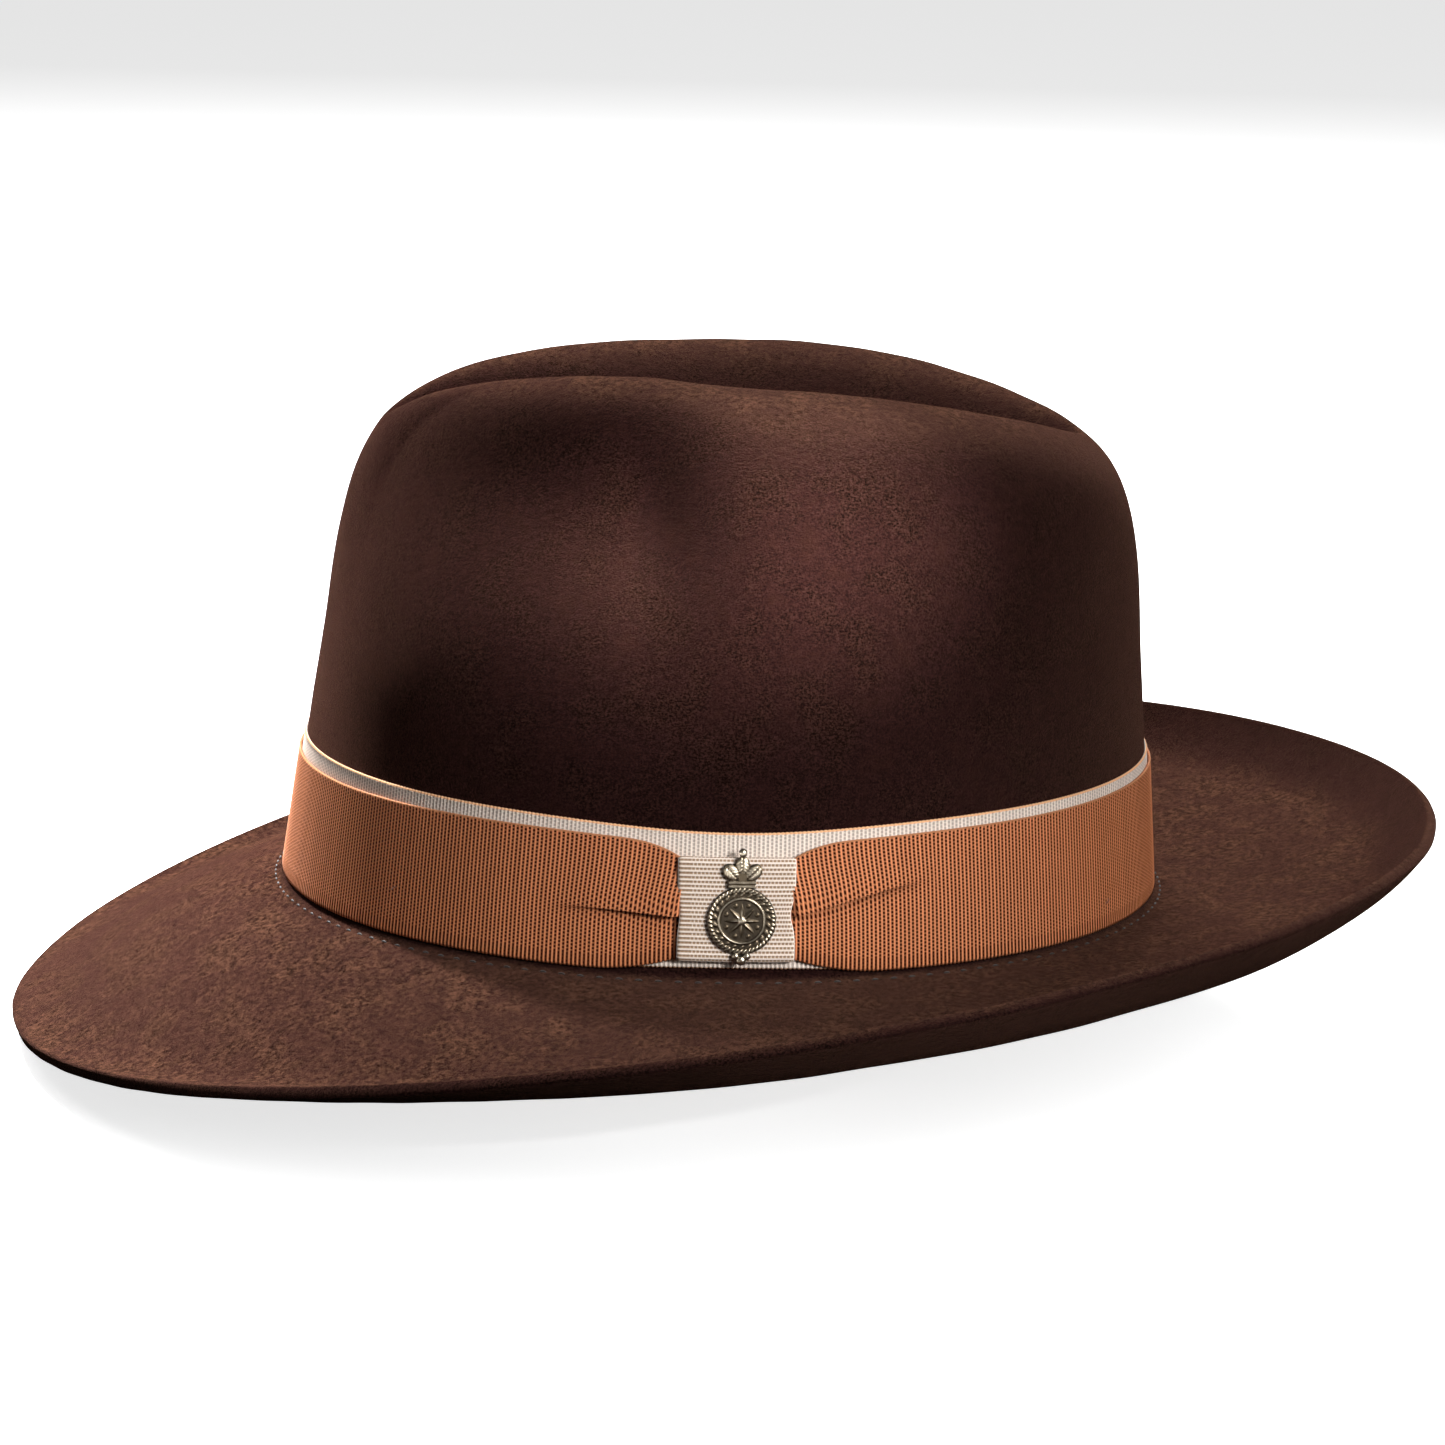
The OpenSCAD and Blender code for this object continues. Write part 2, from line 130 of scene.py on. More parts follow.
def wall(t, z, outward):
    """Points of the crown's wall at angles t and heights z, moved outward."""
    n = around(t, PROFILE)
    s = np.sin(t)
    climb = np.maximum(z, 0) / (CROWN_HEIGHT * (1 + RIDGE_SLOPE * s + RIDGE_SAG * s**2))
    reach = (1 - climb**n) ** (1 / n) * narrowing(t, climb)
    x = (HALF_WIDTH * reach + outward) * np.cos(t)
    y = (HALF_LENGTH * reach + outward) * s
    return triple(x, y, z)


def brim_height(t, v):
    s = np.sin(t)
    edge = BRIM_MEAN + BRIM_RISE * s + BRIM_DIP * s**2 + BRIM_END_LIFT * s**4
    curl = CURL_HEIGHT * (1 + CURL_TILT * s + CURL_FADE * s**2)
    curled = np.maximum((v - CURL_START) / (1 - CURL_START), 0)
    return edge * np.maximum(v, 0) ** BRIM_BEND + curl * curled**2


def brim(t, v, depth=0.0, beyond=0.0):
    """Brim points at share v of its width, depth under the top surface along its normal."""
    s = np.sin(t)
    width = around(t, BRIM_WIDTH) - np.where(s > 0, BRIM_BACK_TRIM * 4 * (s * np.cos(t)) ** 2, 0)
    step = 1e-3
    slope = (brim_height(t, v + step) - brim_height(t, v - step)) / (2 * step) / width
    size = np.sqrt(1 + slope**2)
    out = width * v + (depth * slope + beyond) / size
    z = brim_height(t, v) + (beyond * slope - depth) / size
    return triple((HALF_WIDTH + out) * np.cos(t), (HALF_LENGTH + out) * s, z)


def smooth(low, high, x):
    share = np.clip((x - low) / (high - low), 0, 1)
    return share * share * (3 - 2 * share)


def bell(x):
    """A smooth bump: 1 at 0, 0.37 at 1 and near 0 from 2 on."""
    return np.exp(-(x**2))


def triple(a, b, c):
    """Three values per point, spread to one shape."""
    return np.stack(np.broadcast_arrays(a, b, c), -1)


def waves(points, lengths, phase):
    """A soft irregular value from -1 to 1 over space, with the given wave lengths."""
    total = 0
    for i, length in enumerate(lengths):
        turn = phase + 2.4 * i
        axis = np.array([math.cos(turn), math.sin(turn), math.cos(1.7 * turn)])
        total = total + np.sin(points @ (axis / np.linalg.norm(axis)) * TURN / length + 3 * turn)
    return total / len(lengths)


def distances(line):
    """How far each point of a line lies from its start."""
    steps = np.linalg.norm(np.diff(line, axis=0), axis=1)
    return np.concatenate([[0], np.cumsum(steps)])


def unit(vectors):
    return vectors / np.linalg.norm(vectors, axis=-1, keepdims=True)


# ---------------- meshes


class Piece:
    """Gathers points in millimetres and faces, then becomes one named object."""

    def __init__(self, name):
        self.name = name
        self.points, self.faces, self.values = [], [], {}
        self.count = 0

    def add(self, points, faces, **values):
        first = self.count
        points = np.asarray(points, float).reshape(-1, 3)
        self.points.append(points)
        self.faces += (np.asarray(faces) + first).tolist()
        self.count += len(points)
        for key, value in values.items():
            self.values.setdefault(key, []).append(np.asarray(value, float).reshape(-1, 3))
        return first

    def grid(self, points, wrap_rows=False, wrap_cols=True, **values):
        """Adds rows of points joined into quads, each row closed on itself if wrap_cols."""
        rows, cols = points.shape[:2]
        r = np.arange(rows if wrap_rows else rows - 1)[:, None]
        c = np.arange(cols if wrap_cols else cols - 1)[None, :]
        r2, c2 = (r + 1) % rows, (c + 1) % cols
        quads = np.stack([r * cols + c, r * cols + c2, r2 * cols + c2, r2 * cols + c], -1)
        return self.add(points, quads.reshape(-1, 4), **values)

    def cap(self, first, cols, tip):
        """Closes a ring of cols points that starts at first with a fan to a tip."""
        top = self.add([tip], np.zeros((0, 3), int))
        ring = np.arange(cols)
        fan = np.stack([first + ring, first + (ring + 1) % cols, np.full(cols, top)], -1)
        self.faces += fan.tolist()

    def finish(self, material, nodes, body="hat"):
        mesh = bpy.data.meshes.new(self.name)
        mesh.from_pydata((np.concatenate(self.points) * MM).tolist(), [], self.faces)
        for key, value in self.values.items():
            field = mesh.attributes.new(key, "FLOAT_VECTOR", "POINT")
            field.data.foreach_set("vector", np.concatenate(value).astype(np.float32).ravel())
        mesh.materials.append(material)
        point_out(mesh)
        mesh.polygons.foreach_set("use_smooth", [True] * len(mesh.polygons))
        made = add_object(self.name, mesh)
        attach(made, body)
        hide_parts(*nodes)
        return made


def add_object(name, data):
    made = bpy.data.objects.new(name, data)
    bpy.context.scene.collection.objects.link(made)
    return made


def point_out(mesh):
    """Turns every face of a mesh to point outward."""
    work = bmesh.new()
    work.from_mesh(mesh)
    bmesh.ops.recalc_face_normals(work, faces=work.faces)
    work.to_mesh(mesh)
    work.free()


def tube(piece, line, radius, sides=8, closed=False):
    """Adds a round tube along a line; an open one tapers to a rounded point at both ends."""
    line = np.asarray(line, float)
    ahead, behind = np.roll(line, -1, 0), np.roll(line, 1, 0)
    if not closed:
        ahead[-1], behind[0] = line[-1], line[0]
    along = unit(ahead - behind)
    side = unit(np.cross(along, [0.05, 0.03, 1.0]))
    up = np.cross(side, along)
    radii = np.full(len(line), float(radius))
    if not closed:
        radii *= np.sqrt(np.clip(np.sin(np.linspace(0.1, math.pi - 0.1, len(line))) * 2.2, 0, 1))
    a = full_turn(sides)
    offsets = np.cos(a)[None, :, None] * side[:, None] + np.sin(a)[None, :, None] * up[:, None]
    rings = line[:, None] + offsets * radii[:, None, None]
    first = piece.grid(rings, wrap_rows=closed)
    if not closed:
        ends = np.arange(sides)
        piece.faces += [(first + ends[::-1]).tolist()]
        piece.faces += [(first + ends + (len(line) - 1) * sides).tolist()]


# ---------------- materials


class Shader:
    """A material being built. Values are numbers, colours or node outputs."""

    def __init__(self, name):
        self.material = bpy.data.materials.new(name)
        self.material.use_nodes = True
        self.tree = self.material.node_tree
        self.surface = self.tree.nodes["Principled BSDF"]
        self.place = self.node("ShaderNodeTexCoord").outputs["Object"]

    def plug(self, socket, value):
        if isinstance(value, bpy.types.NodeSocket):
            self.tree.links.new(value, socket)
        elif isinstance(value, tuple) and len(value) == 3 and socket.type == "RGBA":
            socket.default_value = (*value, 1)
        else:
            socket.default_value = value

    def node(self, kind, inputs=None, **settings):
        made = self.tree.nodes.new(kind)
        for key, value in settings.items():
            setattr(made, key, value)
        for key, value in (inputs or {}).items():
            self.plug(made.inputs[key], value)
        return made

    def set(self, **values):
        """Sets sockets of the surface: set(Roughness=0.5, Sheen_Weight=0.2)."""
        for key, value in values.items():
            self.plug(self.surface.inputs[key.replace("_", " ")], value)
        return self.material

    def math(self, operation, a, b=0.0):
        return self.node("ShaderNodeMath", {0: a, 1: b}, operation=operation).outputs[0]

    def plus(self, a, b):
        return self.math("ADD", a, b)

    def minus(self, a, b):
        return self.math("SUBTRACT", a, b)

    def times(self, a, b):
        return self.math("MULTIPLY", a, b)

    def span(self, value, low, high, start=0.0, end=1.0):
        """Value carried smoothly from the range low..high to start..end."""
        inputs = {0: value, 1: low, 2: high, 3: start, 4: end}
        made = self.node("ShaderNodeMapRange", inputs, interpolation_type="SMOOTHSTEP")
        return made.outputs[0]

    def noise(self, size, detail=3.0, stretch=(1, 1, 1), roughness=0.5):
        """Noise with features about size millimetres across, longer where stretch is small."""
        scale = tuple(s / (size * MM) for s in stretch)
        moved = self.node("ShaderNodeVectorMath", {0: self.place, 1: scale}, operation="MULTIPLY")
        inputs = {"Vector": moved.outputs[0], "Scale": 1.0, "Detail": detail, "Roughness": roughness}
        return self.node("ShaderNodeTexNoise", inputs).outputs["Fac"]

    def mix(self, share, a, b, blend="MIX"):
        made = self.node("ShaderNodeMix", {0: share}, data_type="RGBA", blend_type=blend)
        self.plug(made.inputs[6], a)
        self.plug(made.inputs[7], b)
        return made.outputs[2]

    def bump(self, height, distance, strength):
        inputs = {"Height": height, "Distance": distance * MM, "Strength": strength}
        return self.node("ShaderNodeBump", inputs).outputs["Normal"]

    def upright(self):
        """How far the surface faces up: 1 for level ground, 0 for a wall."""
        facing = self.node("ShaderNodeNewGeometry").outputs["Normal"]
        return self.node("ShaderNodeSeparateXYZ", {0: facing}).outputs[2]

    def read(self, name):
        """The three parts of a mesh attribute."""
        value = self.node("ShaderNodeAttribute", attribute_name=name).outputs["Vector"]
        return self.node("ShaderNodeSeparateXYZ", {0: value}).outputs


def felt_material():
    """Short brushed fur felt: mottled colour, a fine nap and a soft sheen."""
    m = Shader("felt")
    flat = m.span(m.math("ABSOLUTE", m.upright()), 0.7, 1.0)
    fine = m.noise(0.62, 5, stretch=(1, 1, 1.3), roughness=0.72)
    lying = m.noise(1.4, 5, roughness=0.78)
    grain = m.plus(m.times(fine, m.minus(1.0, flat)), m.times(lying, flat))
    clumps = m.noise(2.6, 3, stretch=(1, 1, 1.4), roughness=0.6)
    hue = m.noise(11, 3, roughness=0.6)
    crest = m.mix(flat, (0.0300, 0.0121, 0.0098), (0.070, 0.031, 0.0185))
    base = m.mix(m.span(grain, 0.39, 0.61), (0.0020, 0.0008, 0.0007), crest)
    base = m.mix(m.span(hue, 0.35, 0.62, 0, 0.5), base, (0.0165, 0.0056, 0.0059))
    base = m.mix(m.span(hue, 0.52, 0.75, 0, 0.35), base, (0.0225, 0.0087, 0.0056))
    shade = m.span(clumps, 0.3, 0.7, 0.84, 1.12)
    shades = m.node("ShaderNodeCombineColor", {0: shade, 1: shade, 2: shade}).outputs[0]
    base = m.mix(1.0, base, shades, "MULTIPLY")
    nap = m.noise(0.42, 4, roughness=0.75)
    strokes = m.noise(1.3, 2, stretch=(0.5, 0.5, 1.2))
    height = m.plus(m.times(nap, 0.7), m.times(strokes, 0.45))
    return m.set(
        Base_Color=base,
        Roughness=0.6,
        Specular_IOR_Level=0.0,
        Sheen_Weight=0.14,
        Sheen_Roughness=0.38,
        Sheen_Tint=(1.0, 0.50, 0.34, 1),
        Normal=m.bump(height, 0.7, 1.0),
    )


def ribbon_material(name, crest, gap_shade, selvedge, edge_top, edge_low, dots=0.55):
    """Grosgrain: rounded ribs whose gaps, crossed by warp threads, carry painted shade, and a woven
    edge.
    """
    m = Shader(name)
    ribs, low, high = m.read("weave")  # ribs, and millimetres from the lower and upper edge
    phase = m.math("FRACT", ribs)
    from_gap = m.math("MINIMUM", phase, m.minus(1.0, phase))
    # The gaps between ribs and the holes between warp threads are darkened as painted shade, fully so
    # near the lower edge
    hollow = m.span(from_gap, 0.17, 0.41, 1, 0)
    odd = m.times(m.math("FLOOR", m.plus(ribs, 0.5)), 0.5)
    row = m.math("FRACT", m.plus(m.math("DIVIDE", low, 0.85), odd))
    hole = m.span(m.math("ABSOLUTE", m.minus(row, 0.5)), 0.22, 0.46, 1, 0)
    hole = m.math("MAXIMUM", hole, m.span(low, 2.6, 3.4, 0.85, 0))
    dark = m.times(hollow, m.plus(m.times(hole, dots), 1 - dots))
    each = m.node("ShaderNodeTexWhiteNoise", {"W": m.math("FLOOR", ribs)}, noise_dimensions="1D")
    fibre = m.noise(0.35, 3, roughness=0.7)
    tone = m.plus(m.times(each.outputs["Value"], 0.16), m.times(fibre, 0.5))
    ribbed = m.mix(m.span(tone, 0.1, 0.55), tuple(0.78 * c for c in crest), crest)
    colour = m.mix(dark, ribbed, gap_shade)
    # Painted shade under a pleat's fold, read from the crease attribute
    colour = m.mix(m.read("crease")[0], colour, gap_shade)
    colour = m.mix(m.span(high, edge_top * 0.75, edge_top, 1, 0), colour, selvedge)
    colour = m.mix(m.span(low, edge_low * 0.75, edge_low, 1, 0), colour, selvedge)
    threads = m.times(m.minus(1.0, hole), hollow)
    height = m.plus(m.times(threads, 0.5), m.times(fibre, 0.35))
    return m.set(
        Base_Color=colour,
        Roughness=m.span(dark, 0, 1, 0.5, 0.85),
        Specular_IOR_Level=0.06,
        Sheen_Weight=0.04,
        Sheen_Roughness=0.4,
        Sheen_Tint=(*crest, 1),
        Normal=m.bump(height, 0.16, 0.9),
    )


def brass_material():
    """Cast brass with dark patina in the recesses and worn crests."""
    m = Shader("antique_brass")
    relief = m.read("relief")[0]
    blotch = m.noise(1.1, 4, roughness=0.65)
    fine = m.noise(0.22, 3, roughness=0.6)
    wear = m.plus(relief, m.times(m.minus(blotch, 0.5), 0.35))
    aged = m.mix(m.span(wear, 0.15, 0.6), (0.018, 0.013, 0.009), (0.125, 0.095, 0.062))
    colour = m.mix(m.span(wear, 0.6, 1.0), aged, (0.62, 0.53, 0.40))
    return m.set(
        Base_Color=colour,
        Metallic=m.span(wear, 0.1, 0.6, 0.55, 1.0),
        Roughness=m.span(m.plus(wear, m.times(fine, 0.3)), 0.2, 1.1, 0.55, 0.28),
        Normal=m.bump(m.plus(fine, m.times(blotch, 0.6)), 0.05, 0.6),
    )


def leather_material(name, colour, pebble=0.8):
    """Smooth leather with fine pores, faint creases and rubbed patches."""
    m = Shader(name)
    inputs = {"Vector": m.place, "Scale": 1 / (pebble * MM)}
    pores = m.node("ShaderNodeTexVoronoi", inputs, feature="DISTANCE_TO_EDGE").outputs["Distance"]
    crease = m.noise(5, 4, stretch=(0.4, 0.4, 1.4), roughness=0.6)
    rubbed = m.noise(18, 3)
    dark = tuple(0.62 * c for c in colour)
    base = m.mix(m.span(rubbed, 0.35, 0.7), dark, colour)
    base = m.mix(m.span(pores, 0.0, 0.14, 0.55, 0), base, tuple(0.4 * c for c in colour))
    height = m.plus(m.span(pores, 0, 0.2), m.times(crease, 0.9))
    return m.set(
        Base_Color=base,
        Roughness=m.span(rubbed, 0.3, 0.7, 0.58, 0.42),
        Specular_IOR_Level=0.4,
        Normal=m.bump(height, 0.12, 0.55),
    )


def satin_material(name, colour):
    """Satin: fine warp floats, a soft directional gloss and faint streaks."""
    m = Shader(name)
    floats = m.noise(0.25, 2, stretch=(1, 1, 0.08))
    streak = m.noise(3.0, 3, stretch=(1, 1, 0.1))
    base = m.mix(m.span(streak, 0.3, 0.7), tuple(0.82 * c for c in colour), colour)
    return m.set(
        Base_Color=base,
        Roughness=m.span(floats, 0.3, 0.7, 0.34, 0.44),
        Specular_IOR_Level=0.55,
        Sheen_Weight=0.2,
        Sheen_Roughness=0.35,
        Normal=m.bump(floats, 0.05, 0.4),
    )


def thread_material(name, colour, pitch=0.45):
    """Twisted thread: slanting strands with a little wax gloss."""
    m = Shader(name)
    inputs = {"Vector": m.place, "Scale": 1 / (pitch * MM) / 6, "Distortion": 0.6}
    strands = m.node("ShaderNodeTexWave", inputs, bands_direction="DIAGONAL").outputs["Fac"]
    fuzz = m.noise(0.2, 3)
    base = m.mix(strands, tuple(0.55 * c for c in colour), colour)
    base = m.mix(m.span(fuzz, 0.4, 0.8, 0, 0.3), base, tuple(min(1, 1.4 * c) for c in colour))
    height = m.plus(strands, m.times(fuzz, 0.4))
    return m.set(Base_Color=base, Roughness=0.6, Sheen_Weight=0.15,
                 Normal=m.bump(height, 0.08, 0.6))


def film_material():
    """Clear flexible film with faint waviness."""
    m = Shader("clear_film")
    ripple = m.noise(14, 2)
    m.material.surface_render_method = "BLENDED"
    return m.set(
        Base_Color=(0.93, 0.95, 0.96),
        Roughness=m.span(ripple, 0.3, 0.7, 0.08, 0.16),
        Alpha=0.16,
        Specular_IOR_Level=0.6,
        Normal=m.bump(ripple, 0.6, 0.3),
    )


# ---------------- felt


def climb_rows(count, lowest=3.2):
    """Climb angles that divide the crown's surface evenly, from height lowest to the top."""
    fine = 90 * np.linspace(0, 1, 4001) ** 4
    fine = np.concatenate([fine[fine < 20], np.linspace(20, 89.9, 3000)])
    total = 0
    for t in (0, 0.8, math.pi / 2, -0.8, -math.pi / 2):
        total = total + distances(crown(np.full_like(fine, t), fine, 0))
    ends = crown(np.linspace(0, TURN, 90)[None, :], fine[:, None], 0)[:, :, 2].min(1)
    start = np.interp(lowest, ends[:2000], fine[:2000])
    begin = np.interp(start, fine, total)
    return np.interp(np.linspace(begin, total[-1], count), total, fine)


def bezier(a, b, c, rows):
    """Rows of points on the quadratic curve a-b-c, ends left out."""
    u = np.linspace(0, 1, rows + 2)[1:-1, None, None]
    return (1 - u) ** 2 * a + 2 * u * (1 - u) * b + u**2 * c


WOBBLE_CENTRE = np.array([0, 0, 55.0])


def felt_wobble(points, calm):
    """Moves points by the slight unevenness of blocked felt, less where calm is small."""
    soft = waves(points, (95, 61, 47), 0.7)
    push = (0.45 * soft + 0.12 * waves(points, (23, 17, 13), 2.1)) * calm
    return points + unit(points - WOBBLE_CENTRE) * push[..., None]


def brim_rim(t, rows=9, round_out=0.8):
    """The raw cut edge: rows from the top surface round to the underside."""
    turn = np.linspace(0, math.pi, rows)[:, None]
    half = FELT_THICKNESS / 2
    depth = half - half * np.sign(np.cos(turn)) * np.abs(np.cos(turn)) ** 0.55
    beyond = round_out * np.sin(turn) ** 0.55
    last = 1 - round_out / BRIM_WIDTH[0]
    return brim(t, np.full_like(turn, last), depth, beyond)


def make_felt(columns=360):
    t = full_turn(columns)
    rows = climb_rows(128)[::-1, None]
    outside = crown(t, rows[1:], 0)
    outside = felt_wobble(outside, smooth(40, 62, outside[..., 2]))
    shares = np.concatenate([np.linspace(0.05, 0.72, 22), np.linspace(0.74, 0.985, 15)])[:, None]
    low_wall = wall(t, np.full((1, 1), 2.6), 0)
    join = bezier(low_wall, wall(t, np.zeros((1, 1)), 0), brim(t, shares[:1]), 5)
    calm = smooth(0.12, 0.4, shares)
    top = felt_wobble(brim(t, shares), calm)
    rim = felt_wobble(brim_rim(t), np.ones((1, 1)))
    under = felt_wobble(brim(t, shares[::-1], FELT_THICKNESS), calm[::-1])
    corner = triple((HALF_WIDTH - FELT_THICKNESS) * np.cos(t),
                    (HALF_LENGTH - FELT_THICKNESS) * np.sin(t), -FELT_THICKNESS)
    low_inside = wall(t, np.full((1, 1), 2.0), -FELT_THICKNESS)
    turn_in = bezier(under[-1:], corner, low_inside, 5)
    inner = crown(t, climb_rows(30)[:, None], FELT_THICKNESS)[:-1]
    felt = Piece("felt_hat_body")
    skin = np.concatenate([outside, low_wall, join, top, rim, under, turn_in, low_inside, inner])
    first = felt.grid(skin)
    felt.cap(first, columns, crown_top(0))
    felt.cap(first + (len(skin) - 1) * columns, columns, crown_top(FELT_THICKNESS))
    return felt.finish(felt_material(), ["felt_body"])


# ---------------- ribbons


def dip(t):
    """The cream ribbon's soft dip towards the knot: 1 at the knot, 0 away from it."""
    pull = bell((HALF_LENGTH * np.sin(t) - KNOT_Y) / CREAM_REACH)
    return np.where(np.cos(t) > 0, pull, 0)


def past_knot(t):
    """Distance along the band past the knot's edge, large on the far side."""
    past = np.abs(HALF_LENGTH * np.sin(t) - KNOT_Y) - KNOT_WIDTH / 2
    return np.where(np.cos(t) > 0, np.maximum(past, 0), 999)


def gather(t, reach, power=2.0):
    """How far an edge is drawn in by the knot: 1 in the knot, 0 past its reach."""
    return np.maximum(1 - past_knot(t) / reach, 0) ** power


def cream_low(t):
    return BAND_BOTTOM + CREAM_LOW_PULL * dip(t)


def cream_high(t):
    return BAND_TOP - CREAM_PULL * dip(t)


def copper_low(t):
    return BAND_BOTTOM + COPPER_LOW_PULL * gather(t, COPPER_LOW_REACH)


def copper_high(t):
    pull = COPPER_TOP_PULL * gather(t, COPPER_TOP_REACH, COPPER_TOP_POWER)
    return cream_high(t) - around(t, STRIP) - pull


def rib_height(ribs):
    """A rib's rounded profile: 0 in the gaps, 1 on the crest."""
    return np.abs(np.sin(np.pi * ribs)) ** 0.7


def band_columns(columns_per_rib=4):
    """Lengths along the band from the knot's middle, and a function from length to angle."""
    angles = KNOT_ANGLE + np.linspace(0, TURN, 7201)
    lengths = distances(wall(angles, BAND_MIDDLE, 1.2))
    ribs = round(lengths[-1] / RIB_PITCH)
    s = np.linspace(0, lengths[-1], ribs * columns_per_rib + 1)

    def angle_at(length):
        laps = np.floor(length / lengths[-1])
        return np.interp(length - laps * lengths[-1], lengths, angles) + laps * TURN

    return s, s / lengths[-1] * ribs, angle_at


def back_weave(ribs):
    """Weave values for the two rows of a band's back, as if far from both edges."""
    return triple(ribs, np.full((2, 1), 5), 5)


CREAM_OUT, CREAM_BACK, CREAM_MID_ROW = 0.36, 0.12, 9
RIB_RELIEF, LOW_SCALLOP, HIGH_SCALLOP = 0.22, 0.30, 0.20
BEAD_IN, BEAD_SPAN, BEAD_RELIEF = 0.25, 0.22, 0.26  # the beaded edge of the cream ribbon


def make_base_ribbon():
    """The cream ribbon next to the felt, with beaded edges."""
    s, ribs, angle_at = band_columns()
    t = angle_at(s)[None, :]
    rib = rib_height(ribs)[None, :]
    low, high = cream_low(t), cream_high(t)
    inset = np.array([0.0, 0.12, 0.3, 0.6, 1.6, 3.2, 5.0])[:, None]
    up = np.concatenate([low + inset, high - CREAM_MID_ROW, high - inset[::-1]])
    from_edge = np.minimum(up - low, high - up)
    bead = bell((from_edge - BEAD_IN) / BEAD_SPAN) * (rib - 0.2)
    out = CREAM_OUT + RIB_RELIEF * rib * smooth(0, 0.4, from_edge) + BEAD_RELIEF * bead
    at_low, at_high = up - low < 0.05, high - up < 0.05
    up = up - LOW_SCALLOP * rib * at_low + HIGH_SCALLOP * rib * at_high
    outer = wall(t, up, out)
    back = wall(t, np.concatenate([high - 0.1, low + 0.1]), CREAM_BACK)
    weave = np.concatenate([triple(ribs, up - low, high - up), back_weave(ribs)])
    piece = Piece("cream_base_ribbon")
    piece.grid(np.concatenate([outer, back]), True, False, weave=weave)
    made = piece.finish(CREAM_EDGED, ["base_ribbon"])


COPPER_OUT, COPPER_BACK, COPPER_EDGE = 1.2, 0.85, 0.12
GATHER_LIFT, BACK_LIFT = 0.45, 0.3  # how far the gathering holds the ribbon off the cream one
RIB_LEAN, RIB_LEAN_REACH = 2.3, 26
# Each pair is for the pleat in front of the knot and the one behind it.
FOLD_REACH = (31.0, 33.0)
FOLD_HEIGHT, FOLD_RISE = (16.3, 16.6), (-0.045, 0.17)
# How dark the shade painted into the colour under each fold is
PAINTED_FOLD_SHADE = (0.85, 1.35)
FOLD_DROP, FOLD_SPAN, FOLD_OUT, FOLD_TAIL = 2.2, 1.3, 3.2, 9
PAINTED_SHADE_BELOW, PAINTED_SHADE_SPAN = 0.7, 0.9  # where the shade painted under the fold lies, in fold spans


def fold_rows():
    """Cloth rows from the lower edge (0) to the upper edge (1), the fold at one half."""
    edge = [0, 0.012, 0.03, 0.06, 0.13, 0.2, 0.27, 0.34, 0.39]
    middle = np.linspace(0.42, 0.58, 19).tolist()
    return np.array(edge + middle + [1 - q for q in edge[::-1]])[:, None]


def make_copper_ribbon():
    """The copper ribbon: gathered into the knot with a pleat that fades along the band, with painted
    shade under the pleat.
    """
    s, ribs, angle_at = band_columns()
    q = fold_rows()
    t0 = angle_at(s)[None, :]
    behind = HALF_LENGTH * np.sin(t0) > KNOT_Y
    pick = lambda pair: np.where(behind, pair[1], pair[0])
    past = past_knot(t0)
    amount = np.maximum(1 - past / pick(FOLD_REACH), 0) ** 1.25
    lean = RIB_LEAN * bell(past / RIB_LEAN_REACH) * pick((1, -1)) * smooth(0.35, 1.0, q)
    t = angle_at(s[None, :] + lean * smooth(0, 6, past + 4))
    low, high = copper_low(t0), copper_high(t0)
    fold_z = pick(FOLD_HEIGHT) + pick(FOLD_RISE) * past
    fold_z = np.where(amount > 0, fold_z, (low + high) / 2)
    middle = (fold_z - low) / (high - low)
    w = np.where(q < 0.5, 2 * q * middle, middle + (2 * q - 1) * (1 - middle))
    x = (w - middle) * (high - low) / FOLD_SPAN
    up = low + w * (high - low) - amount * FOLD_DROP * x * np.exp((1 - x * x) / 2)
    step = 0.5 * (1 + np.tanh(1.9 * x))
    roll = FOLD_OUT * step * np.exp(-np.maximum(x, 0) * FOLD_SPAN / FOLD_TAIL)
    share = np.clip(w / middle, 0, 1)
    belly = (0.55 * np.sin(np.pi * share**0.7) - 0.35 * share**3) * (w < middle)
    lift = gather(t0, COPPER_LOW_REACH)
    rib = rib_height(ribs)[None, :]
    edge = np.minimum(w, 1 - w) * (high - low)
    out = COPPER_OUT + GATHER_LIFT * lift + amount * (roll + belly)
    out = out + RIB_RELIEF * rib * smooth(0, 0.5, edge)
    out = out + COPPER_EDGE * bell((edge - 0.3) / 0.25) * (w > 0.5)
    out = np.minimum(out, KNOT_FRONT - KNOT_WALL - 0.15 + past)
    up = up - LOW_SCALLOP * rib * (q < 0.001)
    outer = wall(t, up, out)
    back_rows = np.concatenate([high - 0.15, low + 0.15])
    inside = wall(t0, back_rows, COPPER_BACK + BACK_LIFT * lift)
    weave = triple(ribs, w * (high - low), (1 - w) * (high - low))
    weave = np.concatenate([weave, back_weave(ribs)])
    # Painted shade under the fold, kept in the crease attribute and mixed towards the gap shade
    # colour in the material
    crease = pick(PAINTED_FOLD_SHADE) * amount * bell((x + PAINTED_SHADE_BELOW) / PAINTED_SHADE_SPAN)
    crease = np.concatenate([crease, 0 * inside[..., 0]])
    crease = triple(crease, crease, crease)
    piece = Piece("copper_ribbon_pleated")
    piece.grid(np.concatenate([outer, inside]), True, False, weave=weave, crease=crease)
    made = piece.finish(COPPER, ["copper_ribbon"])


